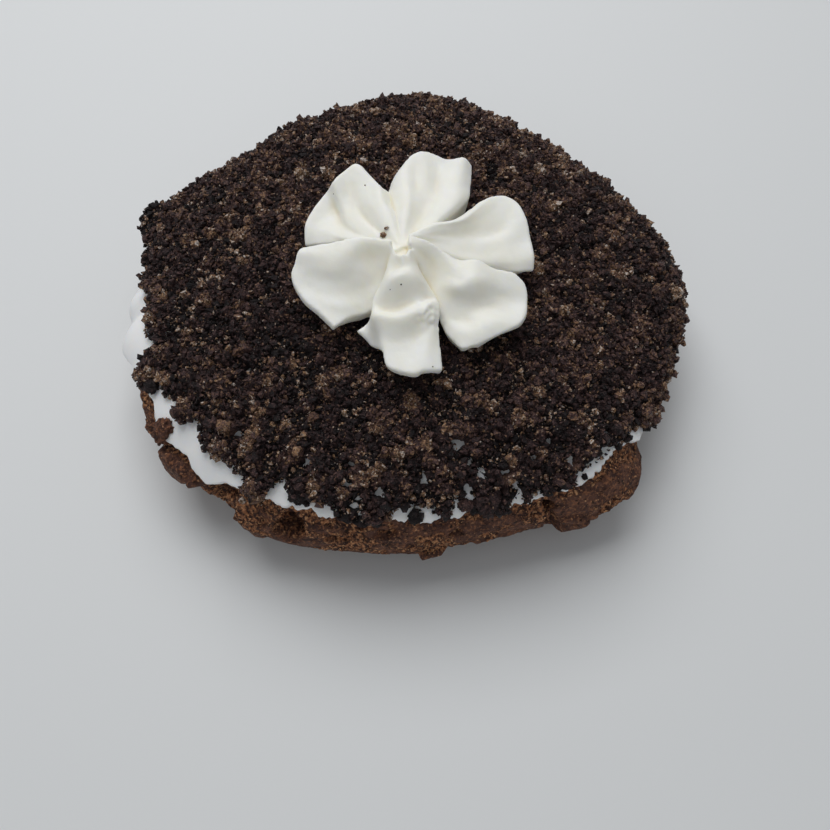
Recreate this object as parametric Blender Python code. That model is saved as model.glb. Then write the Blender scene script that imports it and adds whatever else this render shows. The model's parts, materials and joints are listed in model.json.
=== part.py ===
"""A chocolate cake doughnut: white icing, a crust of dark cookie crumbs and a piped white rosette.

Built in metres with +Z up. The origin is at the middle of the foot, and the side that shows
its bare cake faces -Y.
"""

import math
import random

import bpy
from mathutils import Vector, noise

MM = 0.001

# The cake, from above: its widest radius every 15 degrees, anticlockwise from +X.
OUTLINE_MM = (
    49.7, 49.4, 47.1, 46.1, 47.0, 49.6,
    51.2, 50.1, 50.2, 48.8, 52.3, 53.5,
    52.3, 54.1, 54.3, 52.6, 52.2, 49.2,
    47.9, 47.1, 49.1, 53.8, 47.4, 47.2,
)
MIDDLE_SHIFT = Vector((0.72 * MM, -3.06 * MM, 0.0))  # from the outline's pole to the origin
CAKE_HEIGHT = 25.2 * MM
WIDEST_HEIGHT = 11.8 * MM
FOOT_INSET = 9.0 * MM
SHOULDER = 0.6  # under 1 makes the top flat and the shoulder tight
UNDERCUT = 0.9

# Lower edges of the two layers every 15 degrees, as a slope: 0 at the widest ring, 90 at the top.
ICING_EDGE_DEG = (
    0, 1, 2, 2, 2, 2, 2, 2, 2, 2, 2, 0,
    -4, 12, 22, 18, 30, 27, 26, 24, 26, 25, 7, 1,
)
CRUMB_EDGE_DEG = (
    7, 8, 9, 9, 9, 9, 9, 9, 9, 9, 9, 12,
    20, 30, 34, 36, 35, 30, 30, 28, 29, 30, 13, 7,
)
EDGE_WAVER_DEG = 2.2

# Rings of vertices, as shares of the way up: the bare side, the part under the icing, the crumbs.
SIDE_SHARES = (0.0, 0.16, 0.29, 0.39, 0.47, 0.54, 0.6, 0.66, 0.715, 0.77, 0.82, 0.865, 0.91, 0.955)
TOP_SHARES = (0.0, 0.07, 0.16, 0.27, 0.4, 0.54, 0.7, 0.86)
CRUMB_SHARES = (0.0, 0.05, 0.1, 0.16, 0.23, 0.3, 0.38, 0.46, 0.55, 0.65, 0.76, 0.88)

ICING_GAP = 0.35 * MM
ICING_THICKNESS = 1.6 * MM
CRUMB_GAP = 0.35 * MM
CRUMB_THICKNESS = 1.6 * MM
CRUMB_BUMP = 0.7 * MM

# Coarse crumbs fused to the crust: how many over all of it, and how many more along its open edge.
SPREAD_CRUMBS = 62
EDGE_CRUMBS = 26
SPREAD_CRUMB_SIZE = (1.15 * MM, 1.75 * MM)
EDGE_CRUMB_SIZE = (1.2 * MM, 1.9 * MM)
GOLDEN_TURN = 137.508

# Crags in the bare cake: azimuth, slope, half width and half height in degrees, depth in mm.
# A negative depth stands proud.
CRAGS = (
    (-158.0, 7.0, 6.0, 9.0, -0.8),
    (-149.5, 15.0, 2.6, 7.0, -2.2),
    (-141.0, 5.0, 6.0, 12.0, -1.1),
    (-130.5, 0.0, 3.2, 24.0, 2.6),
    (-124.0, -8.0, 4.5, 16.0, -0.9),
    (-115.0, 16.0, 2.6, 6.0, 3.0),
    (-106.0, 10.0, 3.5, 5.0, 0.8),
    (-97.0, 17.0, 2.8, 4.0, 1.2),
    (-87.0, -17.0, 4.5, 6.0, -1.4),
    (-81.5, 11.0, 2.2, 4.0, 1.3),
    (-72.0, -15.0, 6.5, 5.0, -1.0),
    (-60.5, 8.0, 2.1, 16.0, 2.6),
    (-55.5, -20.0, 5.0, 10.0, -0.8),
    (-50.0, -3.0, 2.4, 12.0, 1.7),
    (-40.0, 2.0, 6.0, 14.0, -0.9),
    (-20.0, -20.0, 5.0, 9.0, 1.7),
    (8.0, -24.0, 4.0, 10.0, 1.8),
    (31.0, -20.0, 6.0, 8.0, 1.6),
    (58.0, -26.0, 4.0, 12.0, 2.0),
    (83.0, -18.0, 6.0, 7.0, 1.5),
    (112.0, -24.0, 4.0, 11.0, 1.9),
    (139.0, -18.0, 6.0, 8.0, 1.6),
    (166.0, -24.0, 4.0, 11.0, 1.9),
    (-172.0, -20.0, 5.0, 7.0, 1.6),
)

# The rosette: its pinch, and the folds of its six petals going round anticlockwise.
# Each fold: azimuth in degrees, reach, height of the rim and rise of the middle, in mm.
ROSETTE_AT = Vector((-1.5 * MM, -5.9 * MM, 0.0))
ROSETTE_HEIGHT = 10.8 * MM
ROSETTE_SPREAD = 1.03
ROSETTE_GAP = 0.35 * MM
RIM_THICKNESS = 1.5 * MM
FOOT_SHARE = 0.56
PETAL_SHARES = (1.0, 0.97, 0.88, 0.77, 0.65, 0.53, 0.42, 0.31, 0.21, 0.12)  # rings from rim to pinch
PETAL_FOLDS = (
    (-2.0, 16.5, 3.4, -2.2), (3.0, 19.6, 3.6, -1.4), (14.0, 22.0, 5.6, 0.2), (25.0, 23.0, 6.0, -1.8),
    (36.0, 23.0, 7.0, -1.2), (45.0, 20.0, 8.2, 1.4), (51.0, 17.5, 6.0, -0.4),
    (56.5, 18.0, 3.4, -1.8), (61.0, 23.2, 5.2, -0.6), (67.0, 25.4, 7.7, 0.2), (73.5, 25.2, 5.8, -1.0),
    (83.0, 25.3, 7.2, 1.4), (91.0, 23.0, 6.4, 0.9), (99.0, 19.4, 3.8, -1.0),
    (105.0, 21.0, 6.2, 0.2), (112.0, 23.4, 7.8, 1.1), (125.0, 22.0, 7.0, 0.5),
    (134.0, 21.2, 5.8, -1.5), (146.0, 20.3, 5.6, 0.3), (156.0, 19.2, 4.2, -1.0),
    (163.0, 15.2, 3.8, -2.0), (170.0, 17.9, 8.4, 1.5), (178.0, 19.2, 6.9, -0.8),
    (188.0, 18.7, 6.0, -0.9), (198.0, 17.9, 5.4, 0.2), (209.0, 15.8, 4.6, 0.2), (221.0, 15.2, 3.4, -0.4),
    (228.0, 9.6, 2.4, -1.6), (234.0, 13.2, 3.2, -0.4), (246.0, 14.1, 3.2, -0.8),
    (253.0, 14.2, 4.2, -0.4), (260.0, 18.2, 5.2, 0.4), (268.0, 19.5, 5.7, 1.0), (278.0, 18.9, 5.7, 0.3),
    (287.0, 19.2, 5.1, -0.4), (292.0, 17.0, 4.2, -0.8), (296.0, 10.4, 2.4, -1.8),
    (300.0, 16.6, 3.8, -0.6), (307.0, 17.8, 4.2, 0.2), (321.0, 18.8, 5.0, 0.3), (332.0, 20.6, 5.7, -1.8),
    (342.0, 21.0, 6.6, -1.4), (349.0, 19.6, 8.3, 1.5), (354.0, 17.0, 5.0, -0.8),
)
# Knobs and hollows on the petals: x and y from the pinch, radius and rise, in mm.
PETAL_KNOBS = (
    (0.0, 0.0, 2.2, -1.4),
    (-2.6, -0.8, 1.8, 0.9),
    (2.4, 0.9, 1.9, 0.8),
    (-0.5, -6.6, 3.4, 1.3),
    (0.6, -11.0, 2.6, -1.0),
    (4.4, -10.4, 1.8, 0.8),
    (10.6, -3.6, 2.6, 1.2),
    (-15.0, -3.2, 3.2, 0.9),
)


# ---------------------------------------------------------------- shared shape

def smooth(share):
    """0 to 1 with level ends."""
    share = min(1.0, max(0.0, share))
    return share * share * (3.0 - 2.0 * share)


def around(values, azimuth):
    """A value listed evenly round the circle, read smoothly at an azimuth in degrees."""
    count = len(values)
    place = (azimuth % 360.0) * count / 360.0
    index = int(place) % count
    share = place - int(place)
    before, start, end, after = (values[(index + step) % count] for step in (-1, 0, 1, 2))
    bend = 2.0 * before - 5.0 * start + 4.0 * end - after + share * (3.0 * (start - end) + after - before)
    return start + 0.5 * share * (end - before + share * bend)


def turn_between(first, second):
    """The turn from one azimuth to another, from -180 to 180 degrees."""
    return (second - first + 180.0) % 360.0 - 180.0


def side_profile(azimuth, slope):
    """Radius and height of the cake's smooth surface, with the outward normal of its side view."""
    widest = around(OUTLINE_MM, azimuth) * MM
    angle = math.radians(slope)
    level = max(math.cos(angle), 1e-4)
    rise = math.sin(angle)
    if slope >= 0.0:
        radius = widest * level ** SHOULDER
        height = WIDEST_HEIGHT + (CAKE_HEIGHT - WIDEST_HEIGHT) * rise
        across = -widest * SHOULDER * level ** (SHOULDER - 1.0) * rise
        upward = (CAKE_HEIGHT - WIDEST_HEIGHT) * level
    else:
        radius = widest - FOOT_INSET + FOOT_INSET * level ** UNDERCUT
        height = WIDEST_HEIGHT * (1.0 + rise)
        across = -FOOT_INSET * UNDERCUT * level ** (UNDERCUT - 1.0) * rise
        upward = WIDEST_HEIGHT * level
    length = math.hypot(across, upward)
    return radius, height, upward / length, -across / length


def on_cake(azimuth, slope, lift):
    """A point at a distance from the cake's smooth surface, measured along its normal."""
    radius, height, out, up = side_profile(azimuth, slope)
    radius += lift * out
    angle = math.radians(azimuth)
    return Vector((radius * math.cos(angle), radius * math.sin(angle), height + lift * up)) + MIDDLE_SHIFT


def top_height(x, y, lift):
    """Height above a plan position of the surface that lies at a distance from the cake's top."""
    x -= MIDDLE_SHIFT.x
    y -= MIDDLE_SHIFT.y
    share = math.hypot(x, y) / (around(OUTLINE_MM, math.degrees(math.atan2(y, x))) * MM)
    level = min(0.999, share) ** (1.0 / SHOULDER)
    return WIDEST_HEIGHT + (CAKE_HEIGHT - WIDEST_HEIGHT) * math.sqrt(1.0 - level * level) + lift


def wave(azimuth, seed):
    """A seamless waver of about -1 to 1 round the circle."""
    angle = math.radians(azimuth)
    at = Vector((6.0 * math.cos(angle), 6.0 * math.sin(angle), seed))
    return 1.6 * noise.noise(at) + 0.9 * noise.noise(2.3 * at)


# ---------------------------------------------------------------- objects

def new_collection(name):
    collection = bpy.data.collections.new(name)
    bpy.context.scene.collection.children.link(collection)
    return collection


def in_collection(obj, collection):
    for old in list(obj.users_collection):
        old.objects.unlink(obj)
    collection.objects.link(obj)


def ball(name, collection, segments, rings, place):
    """A UV sphere whose vertices are all moved by place(azimuth, ring); ring 0 is the lower pole."""
    bpy.ops.mesh.primitive_uv_sphere_add(segments=segments, ring_count=rings, radius=1.0)
    obj = bpy.context.object
    obj.name = name
    obj.data.name = name
    for vertex in obj.data.vertices:
        ring = round((math.asin(max(-1.0, min(1.0, vertex.co.z))) / math.pi + 0.5) * rings)
        vertex.co = place(math.degrees(math.atan2(vertex.co.y, vertex.co.x)), ring)
    in_collection(obj, collection)
    return obj


def shade_smooth(obj):
    obj.data.polygons.foreach_set("use_smooth", [True] * len(obj.data.polygons))
    obj.data.update()


def linear(red, green, blue):
    """A screen colour, 0 to 255 a channel, as linear light."""
    return tuple((channel / 255.0) ** 2.2 for channel in (red, green, blue)) + (1.0,)


def finish(obj, material):
    obj.data.materials.clear()
    obj.data.materials.append(material)
    shade_smooth(obj)


# ---------------------------------------------------------------- materials

def plain_material(name, colour, roughness):
    material = bpy.data.materials.new(name)
    material.use_nodes = True
    shader = material.node_tree.nodes["Principled BSDF"]
    shader.inputs["Base Color"].default_value = colour
    shader.inputs["Roughness"].default_value = roughness
    shader.inputs["Metallic"].default_value = 0.0
    return material


def cake_material():
    return plain_material("cake_brown", linear(84, 56, 42), 0.85)


def icing_material():
    return plain_material("icing_white", linear(236, 237, 236), 0.4)


def crumb_material():
    return plain_material("crumb_black_brown", linear(52, 39, 35), 0.9)


def rosette_material():
    return plain_material("frosting_white", linear(243, 241, 232), 0.45)


# ---------------------------------------------------------------- cake

def crag_depth(azimuth, slope):
    """How far the broken crust lies under the smooth surface, in metres."""
    depth = 0.0
    for at, level, half_width, half_height, deep in CRAGS:
        across = turn_between(at, azimuth) / half_width
        upward = (slope - level) / half_height
        depth += deep * MM * smooth(1.25 - math.hypot(across, upward))
    return depth


def cake_surface(azimuth, slope):
    """A point of the cake's side or top, with the relief of its bare crust."""
    bare = smooth((icing_edge(azimuth) - 2.5 - slope) / 5.0) * smooth((slope + 80.0) / 30.0)
    at = on_cake(azimuth, slope, 0.0)
    grain = 0.45 * MM * noise.noise(at * 260.0) + 0.3 * MM * noise.noise(at * 520.0)
    return on_cake(azimuth, slope, bare * (grain - crag_depth(azimuth, slope)))


def make_cake(collection):
    """The cake: a thick low round with a flat foot, its side rough and cragged."""
    side_rings = len(SIDE_SHARES)
    rings = 1 + side_rings + len(TOP_SHARES)

    def place(azimuth, ring):
        if ring == 0:
            return MIDDLE_SHIFT.copy()
        if ring == rings:
            return on_cake(0.0, 90.0, 0.0)
        top = around(ICING_EDGE_DEG, azimuth)
        if ring <= side_rings:
            slope = -89.9 + (top + 89.9) * SIDE_SHARES[ring - 1]
        else:
            slope = top + (90.0 - top) * TOP_SHARES[ring - side_rings - 1]
        return cake_surface(azimuth, slope)

    cake = ball("cake", collection, 70, rings, place)
    level_foot(cake)
    finish(cake, cake_material())
    return cake


def level_foot(obj):
    """Brings the foot down to z = 0, flat."""
    for vertex in obj.data.vertices:
        if vertex.co.z < 0.05 * MM:
            vertex.co.z = 0.0


# ---------------------------------------------------------------- layers

def layer(name, collection, segments, shares, edge, inner, outer):
    """A closed layer over the cake: an inner and an outer surface that meet in a rounded edge."""
    inner_shares = TOP_SHARES[::-1]
    low_rings = len(inner_shares)
    rings = low_rings + len(shares) + 1

    def place(azimuth, ring):
        if ring in (0, rings):
            surface = inner if ring == 0 else outer
            return on_cake(0.0, 90.0, surface(0.0, 90.0))
        start = around(ICING_EDGE_DEG, azimuth)
        lowest = edge(azimuth)
        if ring <= low_rings:
            slope = start + (90.0 - start) * inner_shares[ring - 1]
            slope = max(slope, lowest + 0.5 + 0.5 * (low_rings - ring))
            return on_cake(azimuth, slope, inner(azimuth, slope))
        place_up = ring - low_rings - 1
        slope = start + (90.0 - start) * shares[place_up]
        slope = max(slope, lowest + 0.9 * place_up)
        round_off = (0.4, 0.85, 1.0)[min(2, place_up)]
        low = inner(azimuth, slope)
        return on_cake(azimuth, slope, low + (outer(azimuth, slope) - low) * round_off)

    return ball(name, collection, segments, rings, place)


def icing_edge(azimuth):
    return around(ICING_EDGE_DEG, azimuth) + EDGE_WAVER_DEG * 0.7 * wave(azimuth, 3.1)


def crumb_edge(azimuth):
    lowest = around(CRUMB_EDGE_DEG, azimuth) + EDGE_WAVER_DEG * wave(azimuth, 8.7)
    return max(lowest, icing_edge(azimuth) + 2.0)


def icing_lobe(azimuth):
    """Where the icing has run and stands out as a lobe: 0 to 1."""
    return smooth(1.0 - abs(turn_between(-171.0, azimuth)) / 9.0)


def icing_inner(azimuth, slope):
    return ICING_GAP


def icing_outer(azimuth, slope):
    lobe = 0.9 * MM * icing_lobe(azimuth) * smooth((38.0 - slope) / 25.0)
    return ICING_GAP + ICING_THICKNESS + lobe


def make_icing(collection):
    """The icing: a smooth white sheet with a wavering lower edge."""
    icing = layer("icing", collection, 60, TOP_SHARES, icing_edge, icing_inner, icing_outer)
    finish(icing, icing_material())
    return icing


def crumb_inner(azimuth, slope):
    return icing_outer(azimuth, slope) + CRUMB_GAP


def under_rosette(x, y):
    """1 under the rosette's foot, falling to 0 past its rim."""
    away = math.hypot(x - ROSETTE_AT.x - MIDDLE_SHIFT.x, y - ROSETTE_AT.y - MIDDLE_SHIFT.y)
    return smooth((23.0 * MM - away) / (5.0 * MM))


def crumb_outer(azimuth, slope):
    at = on_cake(azimuth, slope, 0.0)
    bump = noise.noise(at * 230.0) + 0.8 * noise.noise(at * 410.0)
    bump = CRUMB_BUMP * bump * (1.0 - 0.8 * under_rosette(at.x, at.y))
    return crumb_inner(azimuth, slope) + CRUMB_THICKNESS + bump


def crumb_piece(collection, at, size, rng):
    """One coarse crumb: a twenty-sided lump, knocked out of shape."""
    bpy.ops.mesh.primitive_ico_sphere_add(subdivisions=1, radius=size)
    piece = bpy.context.object
    piece.display_type = "WIRE"
    turn = Vector([rng.uniform(-1.0, 1.0) for _ in range(3)]).normalized()
    spin = turn.rotation_difference(Vector((0.0, 0.0, 1.0))).to_matrix()
    for vertex in piece.data.vertices:
        corner = spin @ (vertex.co * rng.uniform(0.78, 1.15))
        vertex.co = Vector((corner.x, corner.y, corner.z * 0.8)) + at
    in_collection(piece, collection)
    return piece


def crumb_spots(rng):
    """Where the coarse crumbs lie: (position, size), spread evenly, with more along the open edge."""
    spots = []
    for step in range(SPREAD_CRUMBS):
        share = math.sqrt((step + 0.5) / SPREAD_CRUMBS)
        azimuth = step * GOLDEN_TURN + rng.uniform(-6.0, 6.0)
        lowest = crumb_edge(azimuth)
        slope = 90.0 - (90.0 - lowest - 5.0) * share ** 1.1
        spots.append((azimuth, slope, rng.uniform(*SPREAD_CRUMB_SIZE)))
    for step in range(EDGE_CRUMBS):
        azimuth = -150.0 + 4.8 * step + rng.uniform(-1.5, 1.5)
        size = rng.uniform(*EDGE_CRUMB_SIZE)
        spots.append((azimuth, crumb_edge(azimuth) + rng.uniform(1.5, 4.0), size))
    return sorted(spots, key=lambda spot: -spot[2])


def join_all(core, collection):
    """Fuses every object of a collection to the core with one Boolean union, then removes them."""
    union = core.modifiers.new("fused", "BOOLEAN")
    union.operation = "UNION"
    union.operand_type = "COLLECTION"
    union.collection = collection
    union.solver = "MANIFOLD"
    bpy.context.view_layer.objects.active = core
    bpy.ops.object.modifier_apply(modifier=union.name)
    for piece in list(collection.objects):
        bpy.data.objects.remove(piece, do_unlink=True)
    bpy.data.collections.remove(collection)


def make_crumbs(collection, cutters):
    """The crust of crumbs: a bumpy layer with coarse crumbs fused on."""
    rng = random.Random(41)
    crumbs = layer("crumb_topping", collection, 70, CRUMB_SHARES, crumb_edge, crumb_inner, crumb_outer)
    for azimuth, slope, size in crumb_spots(rng):
        at = on_cake(azimuth, slope, crumb_inner(azimuth, slope) + 0.15 * MM + 0.95 * size)
        if under_rosette(at.x, at.y) > 0.0:
            continue
        crumb_piece(cutters, at, size, rng)
    join_all(crumbs, cutters)
    finish(crumbs, crumb_material())
    return crumbs


# ---------------------------------------------------------------- rosette

def fold_at(azimuth):
    """Reach, rim height and rise of the middle at an azimuth, read between the two nearest folds."""
    azimuth = (azimuth + 2.0) % 360.0 - 2.0
    index = max(place for place, fold in enumerate(PETAL_FOLDS) if fold[0] <= azimuth + 1e-9)
    first = PETAL_FOLDS[index]
    second = PETAL_FOLDS[(index + 1) % len(PETAL_FOLDS)]
    width = (second[0] - first[0]) % 360.0
    share = smooth((azimuth - first[0]) / width)
    reach, rim, middle = (MM * (first[item] + (second[item] - first[item]) * share) for item in (1, 2, 3))
    return reach * ROSETTE_SPREAD, rim, middle


def knob_rise(x, y):
    rise = 0.0
    for at_x, at_y, radius, height in PETAL_KNOBS:
        away = math.hypot(x / MM - at_x, y / MM - at_y) / radius
        rise += height * MM * math.exp(-away * away)
    return rise


def petal_top(azimuth, share):
    """Radius and height of a petal's upper face, from the pinch at 0 to the rim at 1."""
    reach, rim, middle = fold_at(azimuth)
    spread = smooth(share / 0.45)
    height = ROSETTE_HEIGHT + (rim - ROSETTE_HEIGHT) * share ** 1.15
    height += 4.0 * middle * share * (1.0 - share) * spread
    radius = reach * share
    angle = math.radians(azimuth)
    height += knob_rise(radius * math.cos(angle), radius * math.sin(angle)) * (1.0 - share ** 4)
    return radius, height


def make_rosette(collection):
    """The rosette: six folded petals round a pinched middle, their rims clear of the crumbs."""
    under = 4
    rings = under + len(PETAL_SHARES) + 1

    def place(azimuth, ring):
        angle = math.radians(azimuth)
        reach, rim, _ = fold_at(azimuth)
        # Ring 0 is the middle of the foot, 1 to 4 climb the overhang, and the rest are the upper face.
        if ring == rings:
            radius, height = petal_top(0.0, 0.0)
        elif ring > under:
            radius, height = petal_top(azimuth, PETAL_SHARES[ring - under - 1])
            height -= 0.35 * MM if ring == under + 1 else 0.0
        elif ring == 4:
            radius, height = reach * 0.985, rim - 0.75 * RIM_THICKNESS
        elif ring == 3:
            radius, height = reach * 0.86, (rim - RIM_THICKNESS) * 0.62
        elif ring == 2:
            radius, height = reach * 0.68, 0.5 * MM
        elif ring == 1:
            radius, height = reach * FOOT_SHARE, 0.0
        else:
            radius, height = 0.0, 0.0
        x = ROSETTE_AT.x + MIDDLE_SHIFT.x + radius * math.cos(angle)
        y = ROSETTE_AT.y + MIDDLE_SHIFT.y + radius * math.sin(angle)
        layers = ICING_GAP + ICING_THICKNESS + CRUMB_GAP + CRUMB_THICKNESS + 0.2 * CRUMB_BUMP
        return Vector((x, y, top_height(x, y, layers + ROSETTE_GAP) + height))

    rosette = ball("rosette", collection, 88, rings, place)
    finish(rosette, rosette_material())
    return rosette


# ---------------------------------------------------------------- all of it

def clear_scene():
    for obj in list(bpy.data.objects):
        bpy.data.objects.remove(obj, do_unlink=True)


def make_doughnut():
    clear_scene()
    whole = new_collection("crumb_topped_doughnut")
    cutters = new_collection("crumb_pieces")
    cutters.hide_render = True
    make_cake(whole)
    make_icing(whole)
    make_crumbs(whole, cutters)
    make_rosette(whole)


make_doughnut()
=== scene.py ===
"""The looks of an iced chocolate cake doughnut with a crust of dark cookie crumbs and a white rosette.

Every surface follows the same cake form: the bare cake, the icing poured over it, the bed of
crumbs pressed into the icing, the loose crumbs on that bed, and the rosette piped in the middle.
"""

import json
import logging
import math
import random
from collections.abc import Sequence
from dataclasses import dataclass, field
from enum import Enum

import bmesh
import bpy
import numpy as np
from mathutils import Matrix, Vector, kdtree, noise

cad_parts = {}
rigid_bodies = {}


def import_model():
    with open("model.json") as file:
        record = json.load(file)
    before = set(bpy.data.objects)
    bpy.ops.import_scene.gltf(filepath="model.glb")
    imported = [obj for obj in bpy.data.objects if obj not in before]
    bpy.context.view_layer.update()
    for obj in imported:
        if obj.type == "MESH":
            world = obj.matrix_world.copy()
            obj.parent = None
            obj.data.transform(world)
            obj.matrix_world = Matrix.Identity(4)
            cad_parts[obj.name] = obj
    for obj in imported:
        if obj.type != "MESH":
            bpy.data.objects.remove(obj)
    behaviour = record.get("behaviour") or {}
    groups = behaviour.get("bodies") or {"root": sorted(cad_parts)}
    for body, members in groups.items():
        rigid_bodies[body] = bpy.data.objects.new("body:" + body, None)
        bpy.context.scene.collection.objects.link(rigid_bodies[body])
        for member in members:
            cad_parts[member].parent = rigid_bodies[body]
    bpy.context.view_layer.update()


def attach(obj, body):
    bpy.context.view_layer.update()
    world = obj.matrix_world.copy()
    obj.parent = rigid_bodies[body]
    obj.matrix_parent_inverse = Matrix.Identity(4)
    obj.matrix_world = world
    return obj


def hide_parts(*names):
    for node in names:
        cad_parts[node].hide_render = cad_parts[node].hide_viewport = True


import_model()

MM = 0.001
BODY = "root"
log = logging.getLogger("doughnut")
Numbers = np.ndarray | float
Colour = tuple[float, float, float, float]
Faces = list[Sequence[int]]
Socket = bpy.types.NodeSocket
Inputs = dict[str | int, object]


class Slot(Enum):
    """The record's material slots."""

    CAKE = "cake"
    ICING = "icing"
    CRUMBS = "crumbs"
    FROSTING = "frosting"


class Domain(Enum):
    """Where on a mesh an attribute is kept."""

    POINT = "POINT"
    FACE = "FACE"


# ---------------------------------------------------------------- numbers

def smooth(share: Numbers) -> np.ndarray:
    """Ease from 0 to 1 with level ends."""
    held = np.clip(share, 0.0, 1.0)
    return held * held * (3.0 - 2.0 * held)


def curve(share: Numbers, before: Numbers, start: Numbers, end: Numbers, after: Numbers) -> Numbers:
    """Follow a smooth curve through four values in a row, from the second to the third."""
    bend = 2.0 * before - 5.0 * start + 4.0 * end - after + share * (3.0 * (start - end) + after - before)
    return start + 0.5 * share * (end - before + share * bend)


def around(values: Sequence[float], azimuth: Numbers) -> np.ndarray:
    """Read values listed evenly round the circle smoothly at any azimuth.

    Args:
        values: One value for each equal step from +X, anticlockwise.
        azimuth: Azimuths in degrees.

    Returns:
        The value at each azimuth.
    """
    listed = np.asarray(values, float)
    count = len(listed)
    place = (np.asarray(azimuth, float) % 360.0) * count / 360.0
    index = np.floor(place).astype(int) % count
    return curve(place - np.floor(place), *(listed[(index + step) % count] for step in (-1, 0, 1, 2)))


def through(points: np.ndarray, count: int) -> np.ndarray:
    """Run a smooth curve through rows of points, all of them at even steps.

    Args:
        points: The points to run through, along the first axis.
        count: How many points to give back.

    Returns:
        The points of the curve, ends included.
    """
    listed = np.concatenate([2.0 * points[:1] - points[1:2], points, 2.0 * points[-1:] - points[-2:-1]])
    place = np.linspace(0.0, len(points) - 1.0, count)
    index = np.minimum(place.astype(int), len(points) - 2)
    share = (place - index).reshape((-1,) + (1,) * (points.ndim - 1))
    return curve(share, *(listed[index + step] for step in range(4)))


def even_turns(count: int) -> np.ndarray:
    """Azimuths in degrees at even steps round the circle."""
    return np.arange(count) * 360.0 / count


def turn_between(first: float, second: Numbers) -> np.ndarray:
    """Give the turn from one azimuth to others, from -180 to 180 degrees."""
    return (np.asarray(second) - first + 180.0) % 360.0 - 180.0


def ring(azimuth: Numbers, radius: Numbers, height: Numbers) -> np.ndarray:
    """Give the points at azimuths in degrees round the axis, with their radii and heights."""
    angle = np.radians(azimuth)
    return np.stack(np.broadcast_arrays(radius * np.cos(angle), radius * np.sin(angle), height), -1)


def noise_at(points: np.ndarray, scale: float, offset: float = 0.0) -> np.ndarray:
    """Give smooth noise of about -1 to 1 at points, by its waves to the metre and a shift of its pattern."""
    spots = (points.reshape(-1, 3) * scale + offset).tolist()
    return np.fromiter((noise.noise(spot) for spot in spots), float, len(spots)).reshape(points.shape[:-1])


def wave(azimuth: Numbers, seed: float) -> np.ndarray:
    """Give a seamless waver of about -1 to 1 round the circle, the same one that the solids have."""
    at = ring(azimuth, 6.0, seed)
    return 1.6 * noise_at(at, 1.0) + 0.9 * noise_at(at, 2.3)


def linear(red: float, green: float, blue: float) -> Colour:
    """Turn a screen colour, 0 to 255 a channel, into linear light with a full alpha."""
    channels = (channel / 255.0 for channel in (red, green, blue))
    return tuple(c / 12.92 if c <= 0.04045 else ((c + 0.055) / 1.055) ** 2.4 for c in channels) + (1.0,)


# ---------------------------------------------------------------- meshes

def add_object(name: str, data: bpy.types.ID) -> bpy.types.Object:
    """Put a mesh, a lamp or a lens in the scene.

    Args:
        name: The object's name.
        data: What it holds.

    Returns:
        The new object.
    """
    made = bpy.data.objects.new(name, data)
    bpy.context.scene.collection.objects.link(made)
    return made


def mesh_object(name: str, points: np.ndarray, faces: Faces, soft: bool = True) -> bpy.types.Object:
    """Make an object from points and faces.

    Args:
        name: The piece's name.
        points: One point a row, in metres.
        faces: The point numbers of each face, anticlockwise from outside.
        soft: True for soft shading.

    Returns:
        The new object, in the scene.
    """
    mesh = bpy.data.meshes.new(name)
    mesh.from_pydata(points.tolist(), [], faces)
    mesh.polygons.foreach_set("use_smooth", [soft] * len(faces))
    mesh.update()
    return add_object(name, mesh)


def settle(host: bpy.types.Object, name: str) -> bpy.types.Mesh:
    """Turn an object and its modifiers into a plain mesh, and take the object away.

    Args:
        host: The object, which isn't a piece.
        name: The mesh's name.

    Returns:
        The mesh.
    """
    bpy.context.view_layer.update()
    graph = bpy.context.evaluated_depsgraph_get()
    mesh = bpy.data.meshes.new_from_object(host.evaluated_get(graph), depsgraph=graph)
    mesh.name = name
    host.modifiers.clear()
    bpy.data.objects.remove(host, do_unlink=True)
    return mesh


def quads(*corners: np.ndarray) -> Faces:
    """Join four like grids of point numbers into four-sided faces."""
    return np.stack(corners, -1).reshape(-1, 4).tolist()


def near_tree(points: Sequence[Sequence[float]]) -> kdtree.KDTree:
    """Sort points so that those near a place are found fast.

    Args:
        points: The points.

    Returns:
        The tree, with each point's number.
    """
    tree = kdtree.KDTree(len(points))
    for index, point in enumerate(points):
        tree.insert(point, index)
    tree.balance()
    return tree


def write_attribute(mesh: bpy.types.Mesh, name: str, values: Numbers, domain: Domain = Domain.POINT) -> None:
    """Keep one number for each point or face on a mesh."""
    layer = mesh.attributes.get(name) or mesh.attributes.new(name, "FLOAT", domain.value)
    layer.data.foreach_set("value", np.asarray(values, np.float32).ravel())


def write_map(mesh: bpy.types.Mesh, across: np.ndarray, up: np.ndarray) -> None:
    """Keep the place of each face's corners on the piece's map."""
    layer = mesh.uv_layers.new(name="OFBake")
    layer.data.foreach_set("uv", np.stack([across, up], -1).astype(np.float32).ravel())


def read_numbers(items: bpy.types.bpy_prop_collection, name: str, kind: type, width: int = 1) -> np.ndarray:
    """Read a property of each item of a mesh.

    Args:
        items: The points, edges, faces or corners.
        name: The property.
        kind: The type of its numbers.
        width: How many numbers each item has.

    Returns:
        One number for each item, or one row where an item has more.
    """
    flat = np.empty(len(items) * width, kind)
    items.foreach_get(name, flat)
    return flat if width == 1 else flat.reshape(-1, width)


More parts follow.
